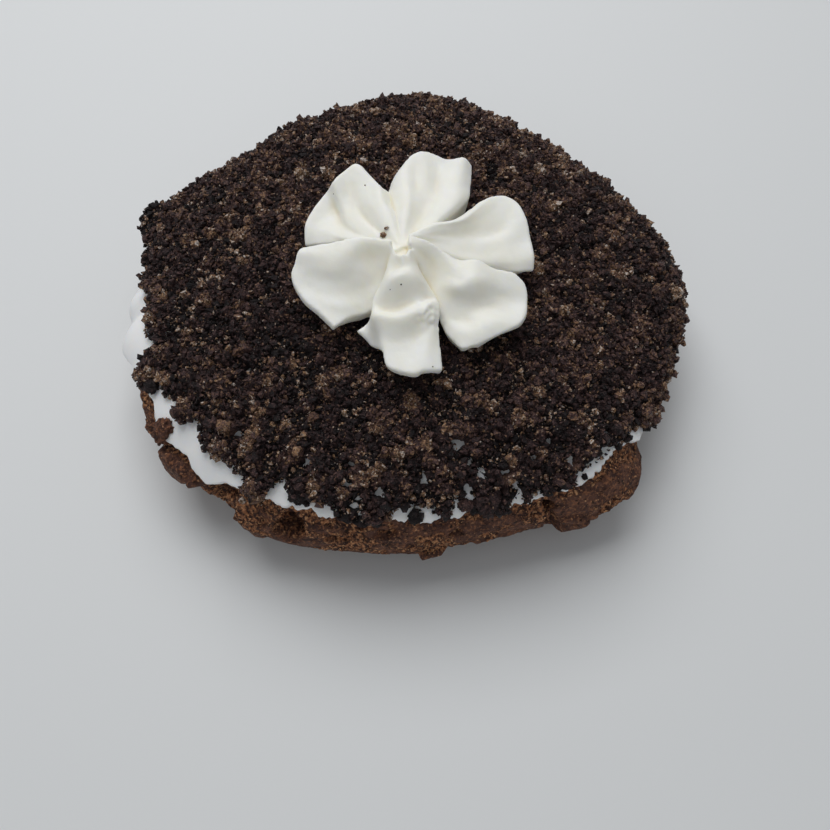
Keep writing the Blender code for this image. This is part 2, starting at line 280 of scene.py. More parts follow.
def hollow(mesh: bpy.types.Mesh, passes: int, depth: float) -> np.ndarray:
    """Find how deep each point lies in a hollow of the skin.

    Args:
        mesh: The skin.
        passes: How many times the skin is evened out, which sets how wide a hollow counts.
        depth: The depth in metres that counts as full.

    Returns:
        A number of 0 to 1 for each point.
    """
    points = read_numbers(mesh.vertices, "co", float, 3)
    normals = read_numbers(mesh.vertices, "normal", float, 3)
    first, second = read_numbers(mesh.edges, "vertices", np.int64, 2).T
    count = len(points)
    degree = np.bincount(first, minlength=count) + np.bincount(second, minlength=count)
    even = points
    for _ in range(passes):
        sums = [
            np.bincount(first, row[second], count) + np.bincount(second, row[first], count)
            for row in even.T
        ]
        even = np.stack(sums, -1) / degree[:, None]
    return smooth(np.einsum("ij,ij->i", even - points, normals) / depth)


def triangles(piece: bpy.types.Object) -> int:
    """Count a piece's triangles."""
    return sum(len(face.vertices) - 2 for face in piece.data.polygons)


@dataclass
class Lathe:
    """A closed skin made of rings round the cake's axis, each ring a row of points."""

    rings: np.ndarray
    low: np.ndarray
    high: np.ndarray
    strips: int = 4
    margin: float = 0.01
    pole_share: float = 0.04

    def points(self) -> np.ndarray:
        """All points: the low pole, the rings upwards, then the high pole."""
        return np.concatenate([self.low[None], self.rings.reshape(-1, 3), self.high[None]])

    def faces(self) -> Faces:
        """Close the rings into faces that point outwards.

        Returns:
            The point numbers of each face: the low pole's, the rings' upwards, then the high pole's.
        """
        count, turns = self.rings.shape[:2]
        at = 1 + np.arange(count * turns).reshape(count, turns)
        ahead = np.roll(at, -1, axis=1)
        low = [(0, after, before) for before, after in zip(at[0].tolist(), ahead[0].tolist())]
        top = 1 + count * turns
        high = [(before, after, top) for before, after in zip(at[-1].tolist(), ahead[-1].tolist())]
        return low + quads(at[:-1], ahead[:-1], ahead[1:], at[1:]) + high

    def piece(self, name: str) -> bpy.types.Object:
        """Make the skin a piece, with its map.

        Args:
            name: The piece's name.

        Returns:
            The piece.
        """
        made = mesh_object(name, self.points(), self.faces())
        self.lay_map(made.data)
        return made

    @staticmethod
    def keep(mesh: bpy.types.Mesh, name: str, rings: np.ndarray, pole: float) -> None:
        """Keep a number for each ring's points, and one for both poles."""
        write_attribute(mesh, name, np.concatenate([[pole], rings.ravel(), [pole]]))

    def lay_map(self, mesh: bpy.types.Mesh) -> None:
        """Lay the skin out flat, cut into strips that stand over each other.

        Args:
            mesh: The mesh of this skin's points and faces.
        """
        turns = self.rings.shape[1]
        middles = self.rings.mean(axis=1, keepdims=True)
        radii = np.linalg.norm((self.rings - middles)[..., :2], axis=2).mean(axis=1)
        rises = np.linalg.norm(np.diff(middles[:, 0], axis=0), axis=1)
        steps = np.hypot(rises, np.abs(np.diff(radii))) + 1e-6
        shares = np.concatenate([[0.0], np.cumsum(steps)]) / steps.sum()
        tall = self.pole_share + (1.0 - 2.0 * self.pole_share) * shares
        width = turns / self.strips
        turn = np.arange(turns)
        strip = np.minimum((turn // width).astype(int), self.strips - 1)[:, None]
        start = turn[:, None] - strip * width
        bands = (
            ([[0.0, tall[0], tall[0]]], (0.5, 1.0, 0.0)),
            (np.stack([tall[:-1], tall[:-1], tall[1:], tall[1:]], -1), (0.0, 1.0, 1.0, 0.0)),
            ([[tall[-1], tall[-1], 1.0]], (0.0, 1.0, 0.5)),
        )
        room = 1.0 - 2.0 * self.margin
        places = []
        for heights, across in bands:
            up = (strip + self.margin + room * np.asarray(heights)[:, None]) / self.strips
            along = self.margin + room * (start + across) / (width + 1.0)
            places.append(np.stack([np.broadcast_to(along, up.shape), up], -1).reshape(-1, 2))
        write_map(mesh, *np.concatenate(places).T)


# ---------------------------------------------------------------- the form of the cake

@dataclass(frozen=True)
class CakeForm:
    """The smooth form that every layer follows, with the edges of the layers over it."""

    outline_mm: tuple[float, ...] = (
        49.7, 49.4, 47.1, 46.1, 47.0, 49.6,
        51.2, 50.1, 50.2, 48.8, 52.3, 53.5,
        52.3, 54.1, 54.3, 52.6, 52.2, 49.2,
        47.9, 47.1, 49.1, 53.8, 47.4, 47.2,
    )
    middle: tuple[float, float, float] = (0.72 * MM, -3.06 * MM, 0.0)
    height: float = 25.2 * MM
    widest_height: float = 11.8 * MM
    foot_inset: float = 9.0 * MM
    shoulder: float = 0.6
    undercut: float = 0.9
    icing_edge_deg: tuple[float, ...] = (
        0, 1, 2, 2, 2, 2, 2, 2, 2, 2, 2, 0,
        -4, 12, 22, 18, 30, 27, 26, 24, 26, 25, 7, 1,
    )
    crumb_edge_deg: tuple[float, ...] = (
        7, 8, 9, 9, 9, 9, 9, 9, 9, 9, 9, 12,
        20, 30, 34, 36, 35, 30, 30, 28, 29, 30, 13, 7,
    )
    edge_waver_deg: float = 2.2
    fray_deg: float = 2.4
    open_middle: float = -82.0
    run_from: float = -200.0
    run_blend: float = 5.0
    icing_run: tuple[tuple[float, float], ...] = (
        (-190, 0), (-183, 5), (-176, 10), (-169, 9), (-164, 16), (-158, 22), (-154, 25), (-150, 20),
        (-146, 19), (-142, 21), (-140, 22), (-138, 18), (-134, 15), (-132, 20), (-130, 25), (-126, 28),
        (-120, 30.5), (-118, 28), (-115, 30.5), (-112, 30), (-109, 27), (-105, 26.5), (-101, 28),
        (-96, 29), (-92, 27), (-88, 25.5), (-83, 26), (-80, 25), (-76, 26.5), (-69, 25.5), (-62, 26.5),
        (-59, 29), (-57, 24.5), (-54, 28), (-50, 33), (-47, 35), (-44, 36), (-41, 33), (-39, 26),
        (-36, 19), (-30, 7), (-18, 2),
    )
    crumb_run: tuple[tuple[float, float], ...] = (
        (-192, 12), (-187, 20), (-183, 22), (-180, 27), (-178, 30), (-176, 28), (-172, 29), (-169, 30),
        (-167, 34), (-164.5, 37), (-163.5, 30), (-161, 22), (-158, 23), (-156.5, 35), (-154.5, 34),
        (-153, 32), (-151.5, 36), (-149.5, 38), (-148, 34), (-146, 33), (-143.5, 38), (-141, 37),
        (-138, 33), (-135, 31), (-132.5, 34), (-130, 34), (-128.5, 33), (-127, 34), (-125.5, 29),
        (-123, 24), (-121.5, 27), (-120.8, 37), (-119.5, 40), (-117.5, 39), (-116, 35), (-114, 34.5),
        (-112, 36), (-110, 33.5), (-108, 35), (-106.5, 31), (-104.5, 27), (-101, 24), (-97, 26),
        (-95, 32), (-92, 34.5), (-89.5, 35), (-86.5, 33.5), (-84.5, 31), (-83.2, 27), (-82.2, 30),
        (-81, 35), (-79, 35), (-76.5, 34), (-74.5, 28), (-72.5, 21), (-70.3, 24), (-69, 30), (-66.5, 29),
        (-65.5, 25), (-64.5, 29.5), (-61.5, 29.5), (-60.5, 27), (-57.5, 30.5), (-56.5, 27), (-55, 33),
        (-53, 36), (-50.5, 37), (-47, 38), (-45, 38), (-42.5, 36), (-40, 32), (-38.5, 32), (-37, 30),
        (-35, 25), (-32, 10), (-26, 3), (-18, 5),
    )
    icing_lobes: tuple[tuple[float, float, float], ...] = ((-179.5, 7.5, 2.1), (-171.0, 8.5, 1.8))
    layer_gap: float = 0.35 * MM
    icing_thickness: float = 1.6 * MM
    crumb_thickness: float = 1.6 * MM

    def surface(self, azimuth: Numbers, slope: Numbers, lift: Numbers) -> np.ndarray:
        """Give points at a distance from the smooth cake, measured along its normal.

        Args:
            azimuth: Azimuths in degrees.
            slope: Slopes in degrees: 0 at the widest ring, 90 at the top and -90 at the foot.
            lift: Distances in metres.

        Returns:
            The points, one for each azimuth, slope and lift.
        """
        azimuth, slope, lift = np.broadcast_arrays(azimuth, slope, lift)
        widest = around(self.outline_mm, azimuth) * MM
        level = np.maximum(np.cos(np.radians(slope)), 1e-4)
        rise = np.sin(np.radians(slope))
        upper = self.height - self.widest_height
        over = slope >= 0.0
        radius = np.where(
            over, widest * level ** self.shoulder, widest - self.foot_inset * (1.0 - level ** self.undercut)
        )
        height = np.where(over, self.widest_height + upper * rise, self.widest_height * (1.0 + rise))
        across = -rise * np.where(
            over,
            widest * self.shoulder * level ** (self.shoulder - 1.0),
            self.foot_inset * self.undercut * level ** (self.undercut - 1.0),
        )
        upward = level * np.where(over, upper, self.widest_height)
        length = np.hypot(across, upward)
        at = ring(azimuth, radius + lift * upward / length, height - lift * across / length)
        return at + np.asarray(self.middle)

    def follow(self, run: Sequence[Sequence[float]], azimuth: Numbers, elsewhere: np.ndarray) -> np.ndarray:
        """Follow an edge along the open side, and another line round the rest.

        Args:
            run: Azimuth and slope of the points of the edge.
            azimuth: The azimuths to read, in degrees.
            elsewhere: The slope at each azimuth away from the run.

        Returns:
            The slope at each azimuth.
        """
        turns, slopes = np.asarray(run, float).T
        turn = (np.asarray(azimuth, float) - self.run_from) % 360.0 + self.run_from
        inside = smooth((turn - turns[0]) / self.run_blend) * smooth((turns[-1] - turn) / self.run_blend)
        return elsewhere + (np.interp(turn, turns, slopes) - elsewhere) * inside

    def icing_edge(self, azimuth: Numbers) -> np.ndarray:
        """Give the slope of the icing's lower edge, frayed most along the open side.

        Args:
            azimuth: Azimuths in degrees.

        Returns:
            The slope at each azimuth, in degrees.
        """
        elsewhere = around(self.icing_edge_deg, azimuth) + 0.7 * self.edge_waver_deg * wave(azimuth, 3.1)
        at = ring(azimuth, 1.0, 5.0)
        fray = noise_at(at, 26.0) + 0.8 * noise_at(at, 61.0)
        open_side = 0.3 + 0.7 * smooth(1.6 - np.abs(turn_between(self.open_middle, azimuth)) / 38.0)
        return self.follow(self.icing_run, azimuth, elsewhere) + self.fray_deg * fray * open_side

    def crumb_edge(self, azimuth: Numbers) -> np.ndarray:
        """Slope of the crumbs' lower edge."""
        elsewhere = around(self.crumb_edge_deg, azimuth) + self.edge_waver_deg * wave(azimuth, 8.7)
        return self.follow(self.crumb_run, azimuth, elsewhere)

    def icing_lift(self, azimuth: Numbers, slope: Numbers) -> np.ndarray:
        """Give the height of the icing's face over the smooth cake, with the run that stands out at the left.

        Args:
            azimuth: Azimuths in degrees.
            slope: Slopes in degrees.

        Returns:
            The lift at each place, in metres.
        """
        lobes = np.zeros(np.broadcast(azimuth, slope).shape)
        for at, half_width, swell in self.icing_lobes:
            across = smooth(1.0 - np.abs(turn_between(at, azimuth)) / half_width)
            lobes = np.maximum(lobes, swell * MM * across)
        return self.layer_gap + self.icing_thickness + lobes * smooth((38.0 - slope) / 25.0)

    def top_height(self, x: np.ndarray, y: np.ndarray, lift: float) -> np.ndarray:
        """Give the height of a layer of the top above plan positions.

        Args:
            x: Plan positions along X, in metres.
            y: Plan positions along Y, in metres.
            lift: The layer's distance from the cake, in metres.

        Returns:
            The heights in metres.
        """
        x = np.asarray(x) - self.middle[0]
        y = np.asarray(y) - self.middle[1]
        share = np.hypot(x, y) / (around(self.outline_mm, np.degrees(np.arctan2(y, x))) * MM)
        level = np.minimum(0.999, share) ** (1.0 / self.shoulder)
        return self.widest_height + (self.height - self.widest_height) * np.sqrt(1.0 - level * level) + lift


# ---------------------------------------------------------------- shader nodes

class Bench:
    """Lays out and wires the nodes of one tree."""

    STEP = 190

    def __init__(self, tree: bpy.types.NodeTree, mottle: bpy.types.NodeTree | None = None) -> None:
        """Start on a tree, with the shared mottle where its nodes use it."""
        self.tree = tree
        self.mottle = mottle

    def feed(self, node: bpy.types.Node, inputs: Inputs) -> bpy.types.Node:
        """Set or wire a node's inputs.

        Args:
            node: The node.
            inputs: Values or output sockets, by the input's name or number.

        Returns:
            The same node.
        """
        for key, value in inputs.items():
            if isinstance(value, Socket):
                self.tree.links.new(value, node.inputs[key])
            else:
                node.inputs[key].default_value = value
        return node

    def add(self, kind: str, inputs: Inputs | None = None, **settings: object) -> bpy.types.Node:
        """Add a node.

        Args:
            kind: Blender's type name of the node.
            inputs: Values or output sockets, by the input's name or number.
            **settings: Properties of the node, by name.

        Returns:
            The node.
        """
        node = self.tree.nodes.new(kind)
        node.location = (self.STEP * len(self.tree.nodes), 0)
        for name, value in settings.items():
            setattr(node, name, value)
        return self.feed(node, inputs or {})

    def work_out(self, operation: str, first: object, second: object, clamp: bool) -> Socket:
        """Put two numbers or sockets through one of Blender's operations, held to 0 to 1 by a clamp."""
        settings = {"operation": operation, "use_clamp": clamp}
        return self.add("ShaderNodeMath", {0: first, 1: second}, **settings).outputs[0]

    def plus(self, first: object, second: object, clamp: bool = False) -> Socket:
        """Add two numbers or sockets."""
        return self.work_out("ADD", first, second, clamp)

    def minus(self, first: object, second: object, clamp: bool = False) -> Socket:
        """Take the second number or socket from the first."""
        return self.work_out("SUBTRACT", first, second, clamp)

    def times(self, first: object, second: object, clamp: bool = False) -> Socket:
        """Multiply two numbers or sockets."""
        return self.work_out("MULTIPLY", first, second, clamp)

    def mix(self, share: object, first: object, second: object) -> Socket:
        """Mix two colours or sockets, with a share of the second."""
        return self.add("ShaderNodeMix", {0: share, 6: first, 7: second}, data_type="RGBA").outputs[2]

    def read(self, name: str) -> Socket:
        """Read a number kept on the mesh."""
        return self.add("ShaderNodeAttribute", attribute_name=name).outputs["Fac"]

    def cloud(self, scale: float, low: float = 0.35, high: float = 0.65, detail: float = 3.0) -> Socket:
        """Place the shared mottle with its own values.

        Args:
            scale: Waves to the metre.
            low: Noise at which the mask starts.
            high: Noise at which the mask is full.
            detail: How many finer layers.

        Returns:
            The mask's socket.
        """
        inputs = {"Scale": scale, "Detail": detail, "Low": low, "High": high}
        return self.add("ShaderNodeGroup", inputs, node_tree=self.mottle).outputs["Value"]

    def relief(self, height: Socket, depth: float, strength: float = 1.0) -> Socket:
        """Turn a height of 0 to 1 into fine relief of a depth in metres."""
        inputs = {"Height": height, "Distance": depth, "Strength": strength}
        return self.add("ShaderNodeBump", inputs).outputs["Normal"]

    def ramp(self, value: Socket, stops: Sequence[tuple[float, Colour]]) -> Socket:
        """Add a colour ramp.

        Args:
            value: What it reads.
            stops: Place and colour of each stop, upwards.

        Returns:
            The colour's socket.
        """
        node = self.add("ShaderNodeValToRGB", {0: value})
        elements = node.color_ramp.elements
        while len(elements) < len(stops):
            elements.new(0.5)
        for element, (place, colour) in zip(elements, stops):
            element.position = place
            element.color = colour
        return node.outputs[0]


def noise_group(name: str) -> bpy.types.NodeTree:
    """Build the mottle that several finishes share: noise in the piece's own space, spread to a range.

    Args:
        name: The group's name.

    Returns:
        The group, with inputs Scale, Detail, Low, High and output Value.
    """
    tree = bpy.data.node_groups.new(name, "ShaderNodeTree")
    for label, value in (("Scale", 500.0), ("Detail", 3.0), ("Low", 0.35), ("High", 0.65)):
        socket = tree.interface.new_socket(label, in_out="INPUT", socket_type="NodeSocketFloat")
        socket.default_value = value
    tree.interface.new_socket("Value", in_out="OUTPUT", socket_type="NodeSocketFloat")
    bench = Bench(tree)
    given = bench.add("NodeGroupInput").outputs
    place = bench.add("ShaderNodeTexCoord").outputs["Object"]
    sizes = {"Vector": place, "Scale": given["Scale"], "Detail": given["Detail"]}
    cloud = bench.add("ShaderNodeTexNoise", sizes).outputs[0]
    limits = {"Value": cloud, "From Min": given["Low"], "From Max": given["High"]}
    spread = bench.add("ShaderNodeMapRange", limits, clamp=True).outputs["Result"]
    bench.add("NodeGroupOutput", {"Value": spread})
    return tree


@dataclass(frozen=True)
class Finish:
    """What all finishes share: a Principled shader with its own bench."""

    name: str
    mottle: bpy.types.NodeTree

    def start(self) -> tuple[bpy.types.Material, Bench, bpy.types.Node]:
        """Make the bare material.

        Returns:
            The material, the bench of its tree and its shader.
        """
        material = bpy.data.materials.new(self.name)
        material.use_nodes = True
        material.node_tree.nodes.clear()
        bench = Bench(material.node_tree, self.mottle)
        shader = bench.add("ShaderNodeBsdfPrincipled")
        bench.add("ShaderNodeOutputMaterial", {"Surface": shader.outputs[0]})
        return material, bench, shader


@dataclass(frozen=True)
class CakeFinish(Finish):
    """Baked chocolate cake: a matt dark crust, with orange-brown open crumb where it is broken, and painted
    shade in its pits and deep crags.
    """

    crust: Colour = linear(108, 74, 61)
    crust_dark: Colour = linear(67, 43, 37)
    open_crumb: Colour = linear(180, 121, 84)
    speck: Colour = linear(234, 176, 128)
    # Painted shade: small pits in the cake, put as dark spots.
    pore_shade: Colour = linear(36, 21, 14)
    # Painted shade: the colour that deep crags and pores are darkened towards.
    hollow: Colour = linear(60, 31, 21)

    def make(self) -> bpy.types.Material:
        """Build the material.

        Returns:
            The material.
        """
        material, bench, shader = self.start()
        cloud, plus, times, mix = bench.cloud, bench.plus, bench.times, bench.mix
        crust = mix(cloud(420.0, 0.36, 0.64), self.crust_dark, self.crust)
        crust = mix(times(cloud(1700.0, 0.5, 0.66), 0.55), crust, self.open_crumb)
        grains = cloud(1500.0, 0.42, 0.58, 4.0)
        open_face = mix(grains, self.crust_dark, self.open_crumb)
        open_face = mix(cloud(1800.0, 0.57, 0.63), open_face, self.speck)
        ragged = plus(bench.read("broken"), times(cloud(1900.0), 0.7))
        broken = times(bench.minus(ragged, 0.62, clamp=True), 3.0, clamp=True)
        colour = mix(broken, crust, open_face)
        colour = mix(times(cloud(1500.0, 0.64, 0.69), 0.6), colour, self.speck)
        # Painted shade: scatter dark spots for the shade in small pits.
        colour = mix(times(cloud(1250.0, 0.6, 0.65), 0.85), colour, self.pore_shade)
        # Painted shade: darken the deep crags and pores, where little light gets in.
        colour = mix(bench.read("deep"), colour, self.hollow)
        grain = plus(times(cloud(1700.0, 0.25, 0.75, 4.0), 0.6), times(grains, 0.5))
        grain = times(grain, plus(0.35, times(broken, 0.65)))
        bench.feed(shader, {
            "Base Color": colour,
            "Roughness": plus(0.7, times(cloud(700.0), 0.2)),
            "Specular IOR Level": 0.3,
            "Normal": bench.relief(grain, 0.8 * MM),
        })
        return material


@dataclass(frozen=True)
class IcingFinish(Finish):
    """Set white icing: satin, a little uneven, cool where it is thin."""

    white: Colour = linear(250, 250, 249)
    shade: Colour = linear(241, 242, 243)

    def make(self) -> bpy.types.Material:
        """Build the material.

        Returns:
            The material.
        """
        material, bench, shader = self.start()
        cloud = bench.cloud
        bench.feed(shader, {
            "Base Color": bench.mix(cloud(160.0, 0.3, 0.7), self.shade, self.white),
            "Roughness": bench.plus(0.36, bench.times(cloud(420.0), 0.14)),
            "Subsurface Weight": 0.35,
            "Subsurface Radius": (1.0, 0.85, 0.7),
            "Subsurface Scale": 1.5 * MM,
            "Normal": bench.relief(cloud(500.0, 0.2, 0.8), 0.08 * MM, 0.4),
        })
        return material


@dataclass(frozen=True)
class CrumbFinish(Finish):
    """Crushed dark cookie: each crumb has its own tone, broken up by fine dark pores painted as the shade in
    the gaps between grains, and by pale specks that are partly painted glints.
    """

    facets: bool = True
    # Painted shade: the dark of the gaps between grains.
    pore_shade: Colour = linear(10, 5, 7)
    # Pale specks of crumb, also used as painted glints.
    speck: Colour = linear(196, 184, 174)
    stops: tuple[tuple[float, Colour], ...] = (
        (0.0, linear(14, 8, 10)),
        (0.2, linear(36, 23, 24)),
        (0.4, linear(66, 46, 46)),
        (0.58, linear(98, 73, 69)),
        (0.74, linear(134, 101, 75)),
        (0.88, linear(164, 128, 92)),
        (1.0, linear(206, 194, 186)),
    )

    def make(self) -> bpy.types.Material:
        """Build the material.

        Returns:
            The material.
        """
        material, bench, shader = self.start()
        cloud, plus, minus, times = bench.cloud, bench.plus, bench.minus, bench.times
        fine = minus(cloud(4300.0, 0.28, 0.72, 2.0), 0.5)
        broad = minus(cloud(1500.0, 0.3, 0.7, 2.0), 0.5)
        tone = plus(plus(bench.read("tone"), times(fine, 0.38)), times(broad, 0.26))
        if self.facets:
            tone = plus(tone, times(minus(bench.read("facet"), 0.5), 0.34))
        # Painted shade: a noise of dark gaps between the grains.
        pores = minus(1.0, cloud(2900.0, 0.36, 0.5))
        colour = bench.mix(times(pores, 0.8), bench.ramp(tone, self.stops), self.pore_shade)
        bench.feed(shader, {
            # Pale specks, partly the crumb's own and partly painted glints.
            "Base Color": bench.mix(times(cloud(2300.0, 0.75, 0.81, 1.0), 0.6), colour, self.speck),
            "Roughness": plus(0.55, times(broad, 0.3)),
            "Specular IOR Level": 0.3,
            "Normal": bench.relief(cloud(3400.0, 0.2, 0.8, 4.0), 0.26 * MM),
        })
        return material


@dataclass(frozen=True)
class FrostingFinish(Finish):
    """Piped frosting: bright white and soft, creamy down in its folds, where the cream is partly its own tint
    and partly painted shade.
    """

    white: Colour = linear(249, 248, 240)
    # Cream: the frosting's own tint, and painted shade in the folds.
    cream: Colour = linear(224, 213, 178)

    def make(self) -> bpy.types.Material:
        """Build the material.

        Returns:
            The material.
        """
        material, bench, shader = self.start()
        cloud = bench.cloud
        # Cream in the folds: partly the frosting's tint, partly painted shade.
        colour = bench.mix(bench.read("fold"), self.white, self.cream)
        bench.feed(shader, {
            "Base Color": bench.mix(bench.times(cloud(240.0), 0.12), colour, self.cream),
            "Roughness": bench.plus(0.4, bench.times(cloud(600.0), 0.12)),
            "Subsurface Weight": 0.5,
            "Subsurface Radius": (1.0, 0.9, 0.62),
            "Subsurface Scale": 2.2 * MM,
            "Specular IOR Level": 0.4,
            "Normal": bench.relief(cloud(900.0, 0.2, 0.8, 4.0), 0.05 * MM, 0.5),
        })
        return material


# ---------------------------------------------------------------- the bare cake

@dataclass
class CakeBody:
    """The cake: a thick low round with a flat foot, its bare side rough, pitted and cracked."""

    form: CakeForm
    around_count: int = 960
    side_rings: int = 84
    foot_slope: float = -89.9
    tucked_deg: float = 3.0
    foot_shares: tuple[float, ...] = (0.3, 0.65, 0.9)
    top_shares: tuple[float, ...] = (0.07, 0.16, 0.27, 0.4, 0.54, 0.7, 0.86)
    crags: tuple[tuple[float, float, float, float, float], ...] = (
        (-158.0, 7.0, 6.0, 9.0, -0.8),
        (-149.5, 15.0, 2.6, 7.0, -2.2),
        (-142.5, 3.0, 5.5, 14.0, -2.4),
        (-131.5, -4.0, 3.6, 30.0, 4.6),
        (-124.0, -8.0, 4.5, 16.0, -0.9),
        (-115.3, 10.0, 3.1, 13.0, 4.6),
        (-106.0, 10.0, 3.5, 5.0, 0.8),
        (-97.0, 17.0, 2.8, 4.0, 1.2),
        (-87.0, -18.0, 3.2, 4.5, -1.5),
        (-81.5, 11.0, 2.2, 4.0, 1.3),
        (-72.0, -15.0, 6.5, 5.0, -0.5),
        (-60.5, -14.0, 1.3, 36.0, 6.0),
        (-56.5, -12.0, 3.0, 18.0, -1.1),
        (-55.5, -20.0, 5.0, 10.0, -0.8),
        (-50.0, -3.0, 1.4, 9.0, 2.2),
        (-48.2, 6.0, 1.0, 7.0, 1.8),
        (-40.0, 2.0, 6.0, 14.0, -0.9),
        (-20.0, -20.0, 5.0, 9.0, 1.7),
        (8.0, -24.0, 4.0, 10.0, 1.8),
        (31.0, -20.0, 6.0, 8.0, 1.6),
        (58.0, -26.0, 4.0, 12.0, 2.0),
        (83.0, -18.0, 6.0, 7.0, 1.5),
        (112.0, -24.0, 4.0, 11.0, 1.9),
        (139.0, -18.0, 6.0, 8.0, 1.6),
        (166.0, -24.0, 4.0, 11.0, 1.9),
        (-172.0, -20.0, 5.0, 7.0, 1.6),
    )
    pore_count: int = 900
    pore_seed: int = 7
    pore_slopes: tuple[float, float] = (-55.0, 28.0)

    def crag_depth(self, azimuth: np.ndarray, slope: np.ndarray) -> np.ndarray:
        """Find how far the broken crust lies under the smooth side.

        Args:
            azimuth: Azimuths in degrees.
            slope: Slopes in degrees.

        Returns:
            The depth at each place, in metres.
        """
        at = self.form.surface(azimuth, slope, 0.0)
        ragged = 1.1 + 0.65 * noise_at(at, 330.0, 11.0) + 0.3 * noise_at(at, 800.0, 14.0)
        depth = np.zeros(np.broadcast(azimuth, slope).shape)
        for middle, level, half_width, half_height, deep in self.crags:
            across = turn_between(middle, azimuth) / half_width
            depth += deep * MM * smooth((ragged - np.hypot(across, (slope - level) / half_height)) / 0.6)
        return depth

    def pore_depth(self, points: np.ndarray) -> np.ndarray:
        """Sink small round pores into the side.

        Args:
            points: The side's points, one a row.

        Returns:
            The depth at each point, in metres.
        """
        rng = random.Random(self.pore_seed)
        tree = near_tree(points.tolist())
        depth = np.zeros(len(points))
        for _ in range(self.pore_count):
            azimuth = rng.uniform(-180.0, 180.0)
            slope = rng.uniform(*self.pore_slopes)
            centre = self.form.surface(azimuth, slope, 0.0)
            radius = MM * (0.3 + 0.75 * rng.random() ** 2.0)
            for _, index, away in tree.find_range(centre.tolist(), radius):
                depth[index] = max(depth[index], 0.55 * radius * (1.0 - (away / radius) ** 2))
        return depth

    def build(self) -> bpy.types.Object:
        """Build the cake's skin with its relief.

        Returns:
            The piece.
        """
        form = self.form
        azimuth = even_turns(self.around_count)
        edge = form.icing_edge(azimuth)
        coarse = around(form.icing_edge_deg, azimuth)
        shares = np.linspace(0.0, 1.0, self.side_rings)[:, None] ** 0.85
        side = self.foot_slope + (coarse - self.foot_slope + self.tucked_deg) * shares
        top = side[-1] + (90.0 - side[-1]) * np.asarray(self.top_shares)[:, None]
        slope = np.concatenate([side, top])
        at = form.surface(azimuth, slope, 0.0)
        bare = smooth((edge - 0.5 - slope) / 4.0) * smooth((slope + 80.0) / 30.0)
        grain = 0.4 * MM * noise_at(at, 230.0) - 0.3 * MM * np.abs(noise_at(at, 420.0, 7.0))
        patches = noise_at(at, 150.0, 5.0) + 0.6 * noise_at(at, 390.0, 3.0)
        near_edge = 0.55 * smooth((slope - edge + 12.0) / 10.0)
        mask = smooth((patches + 0.12 + near_edge) / 0.25)
        crag = self.crag_depth(azimuth, slope)
        mask = np.maximum(mask, smooth((crag / MM - 0.7) / 0.9)) * smooth((crag / MM + 1.0) / 0.5)
        fine = 0.34 * MM * noise_at(at, 800.0) + 0.26 * MM * noise_at(at, 1500.0)
        pores = np.zeros(slope.shape)
        count = self.side_rings * self.around_count
        pores.reshape(-1)[:count] = self.pore_depth(at.reshape(-1, 3)[:count])
        lift = bare * (grain - crag + fine * (0.2 + 1.0 * mask) - pores * (0.2 + 0.8 * mask))
        rings = form.surface(azimuth, slope, lift)
        centre = np.asarray(form.middle)
        inside = [centre + (rings[:1] - centre) * share for share in self.foot_shares]
        rings = np.concatenate(inside + [rings])
        rings[..., 2] = np.where(rings[..., 2] < 0.05 * MM, 0.0, rings[..., 2])
        lathe = Lathe(rings, centre, form.surface(0.0, 90.0, 0.0))
        cake = lathe.piece("cake_body")
        # Painted shade: how far the colour is darkened in deep crags and pores, kept as deep.
        deep = smooth((crag / MM - 1.3) / 1.6) * 0.65 + smooth(pores / MM / 0.5) * 0.5
        foot = np.zeros((len(self.foot_shares), self.around_count))
        for name, values in (("broken", mask), ("deep", deep)):
            lathe.keep(cake.data, name, np.concatenate([foot, values]), 0.0)
        return cake

    def dress(self, piece: bpy.types.Object, material: bpy.types.Material) -> None:
        """Finish the piece and place it on the body.

        Args:
            piece: The piece.
            material: Its finish.
        """
        piece.data.materials.append(material)
        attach(piece, BODY)
        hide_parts("cake")


# ---------------------------------------------------------------- layers over it

@dataclass
class Layer:
    """A closed layer over the cake: an inner and an outer face that meet in a rounded lip."""

    form: CakeForm
    around_count: int
    outer_rings: int
    inner_shares: tuple[float, ...] = (0.86, 0.7, 0.54, 0.4, 0.27, 0.16, 0.07, 0.0)
    lip: tuple[float, ...] = (0.25, 0.6, 0.87, 1.0)

    def edge(self, azimuth: Numbers) -> np.ndarray:
        """Slope of the lower edge, as each kind of layer gives it."""
        raise NotImplementedError

    def low(self, azimuth: Numbers, slope: Numbers) -> np.ndarray:
        """Lift of the inner face, as each kind of layer gives it."""
        raise NotImplementedError

    def high(self, azimuth: Numbers, slope: Numbers) -> np.ndarray:
        """Lift of the outer face, as each kind of layer gives it."""
        raise NotImplementedError

    def lathe(self) -> tuple[Lathe, np.ndarray, np.ndarray]:
        """Build the closed skin.

        Returns:
            The skin, the azimuths of a ring's points and the slopes of the outer rings' points.
        """
        azimuth = even_turns(self.around_count)
        lowest = self.edge(azimuth)
        inner = lowest + (90.0 - lowest) * np.asarray(self.inner_shares)[:, None]
        inner = np.maximum(inner, lowest + 0.2)
        shares = np.linspace(0.0, 1.0, self.outer_rings + 1)[:-1] ** 1.12
        outer = lowest + (90.0 - lowest) * shares[:, None]
        share = np.ones((len(outer), 1))
        share[: len(self.lip), 0] = self.lip
        base = self.low(azimuth, outer)
        lift = base + (self.high(azimuth, outer) - base) * share
        under = self.form.surface(azimuth, inner, self.low(azimuth, inner))
        rings = np.concatenate([under, self.form.surface(azimuth, outer, lift)])
        poles = (self.form.surface(0.0, 90.0, face(0.0, 90.0)) for face in (self.low, self.high))
        return Lathe(rings, *poles), azimuth, outer


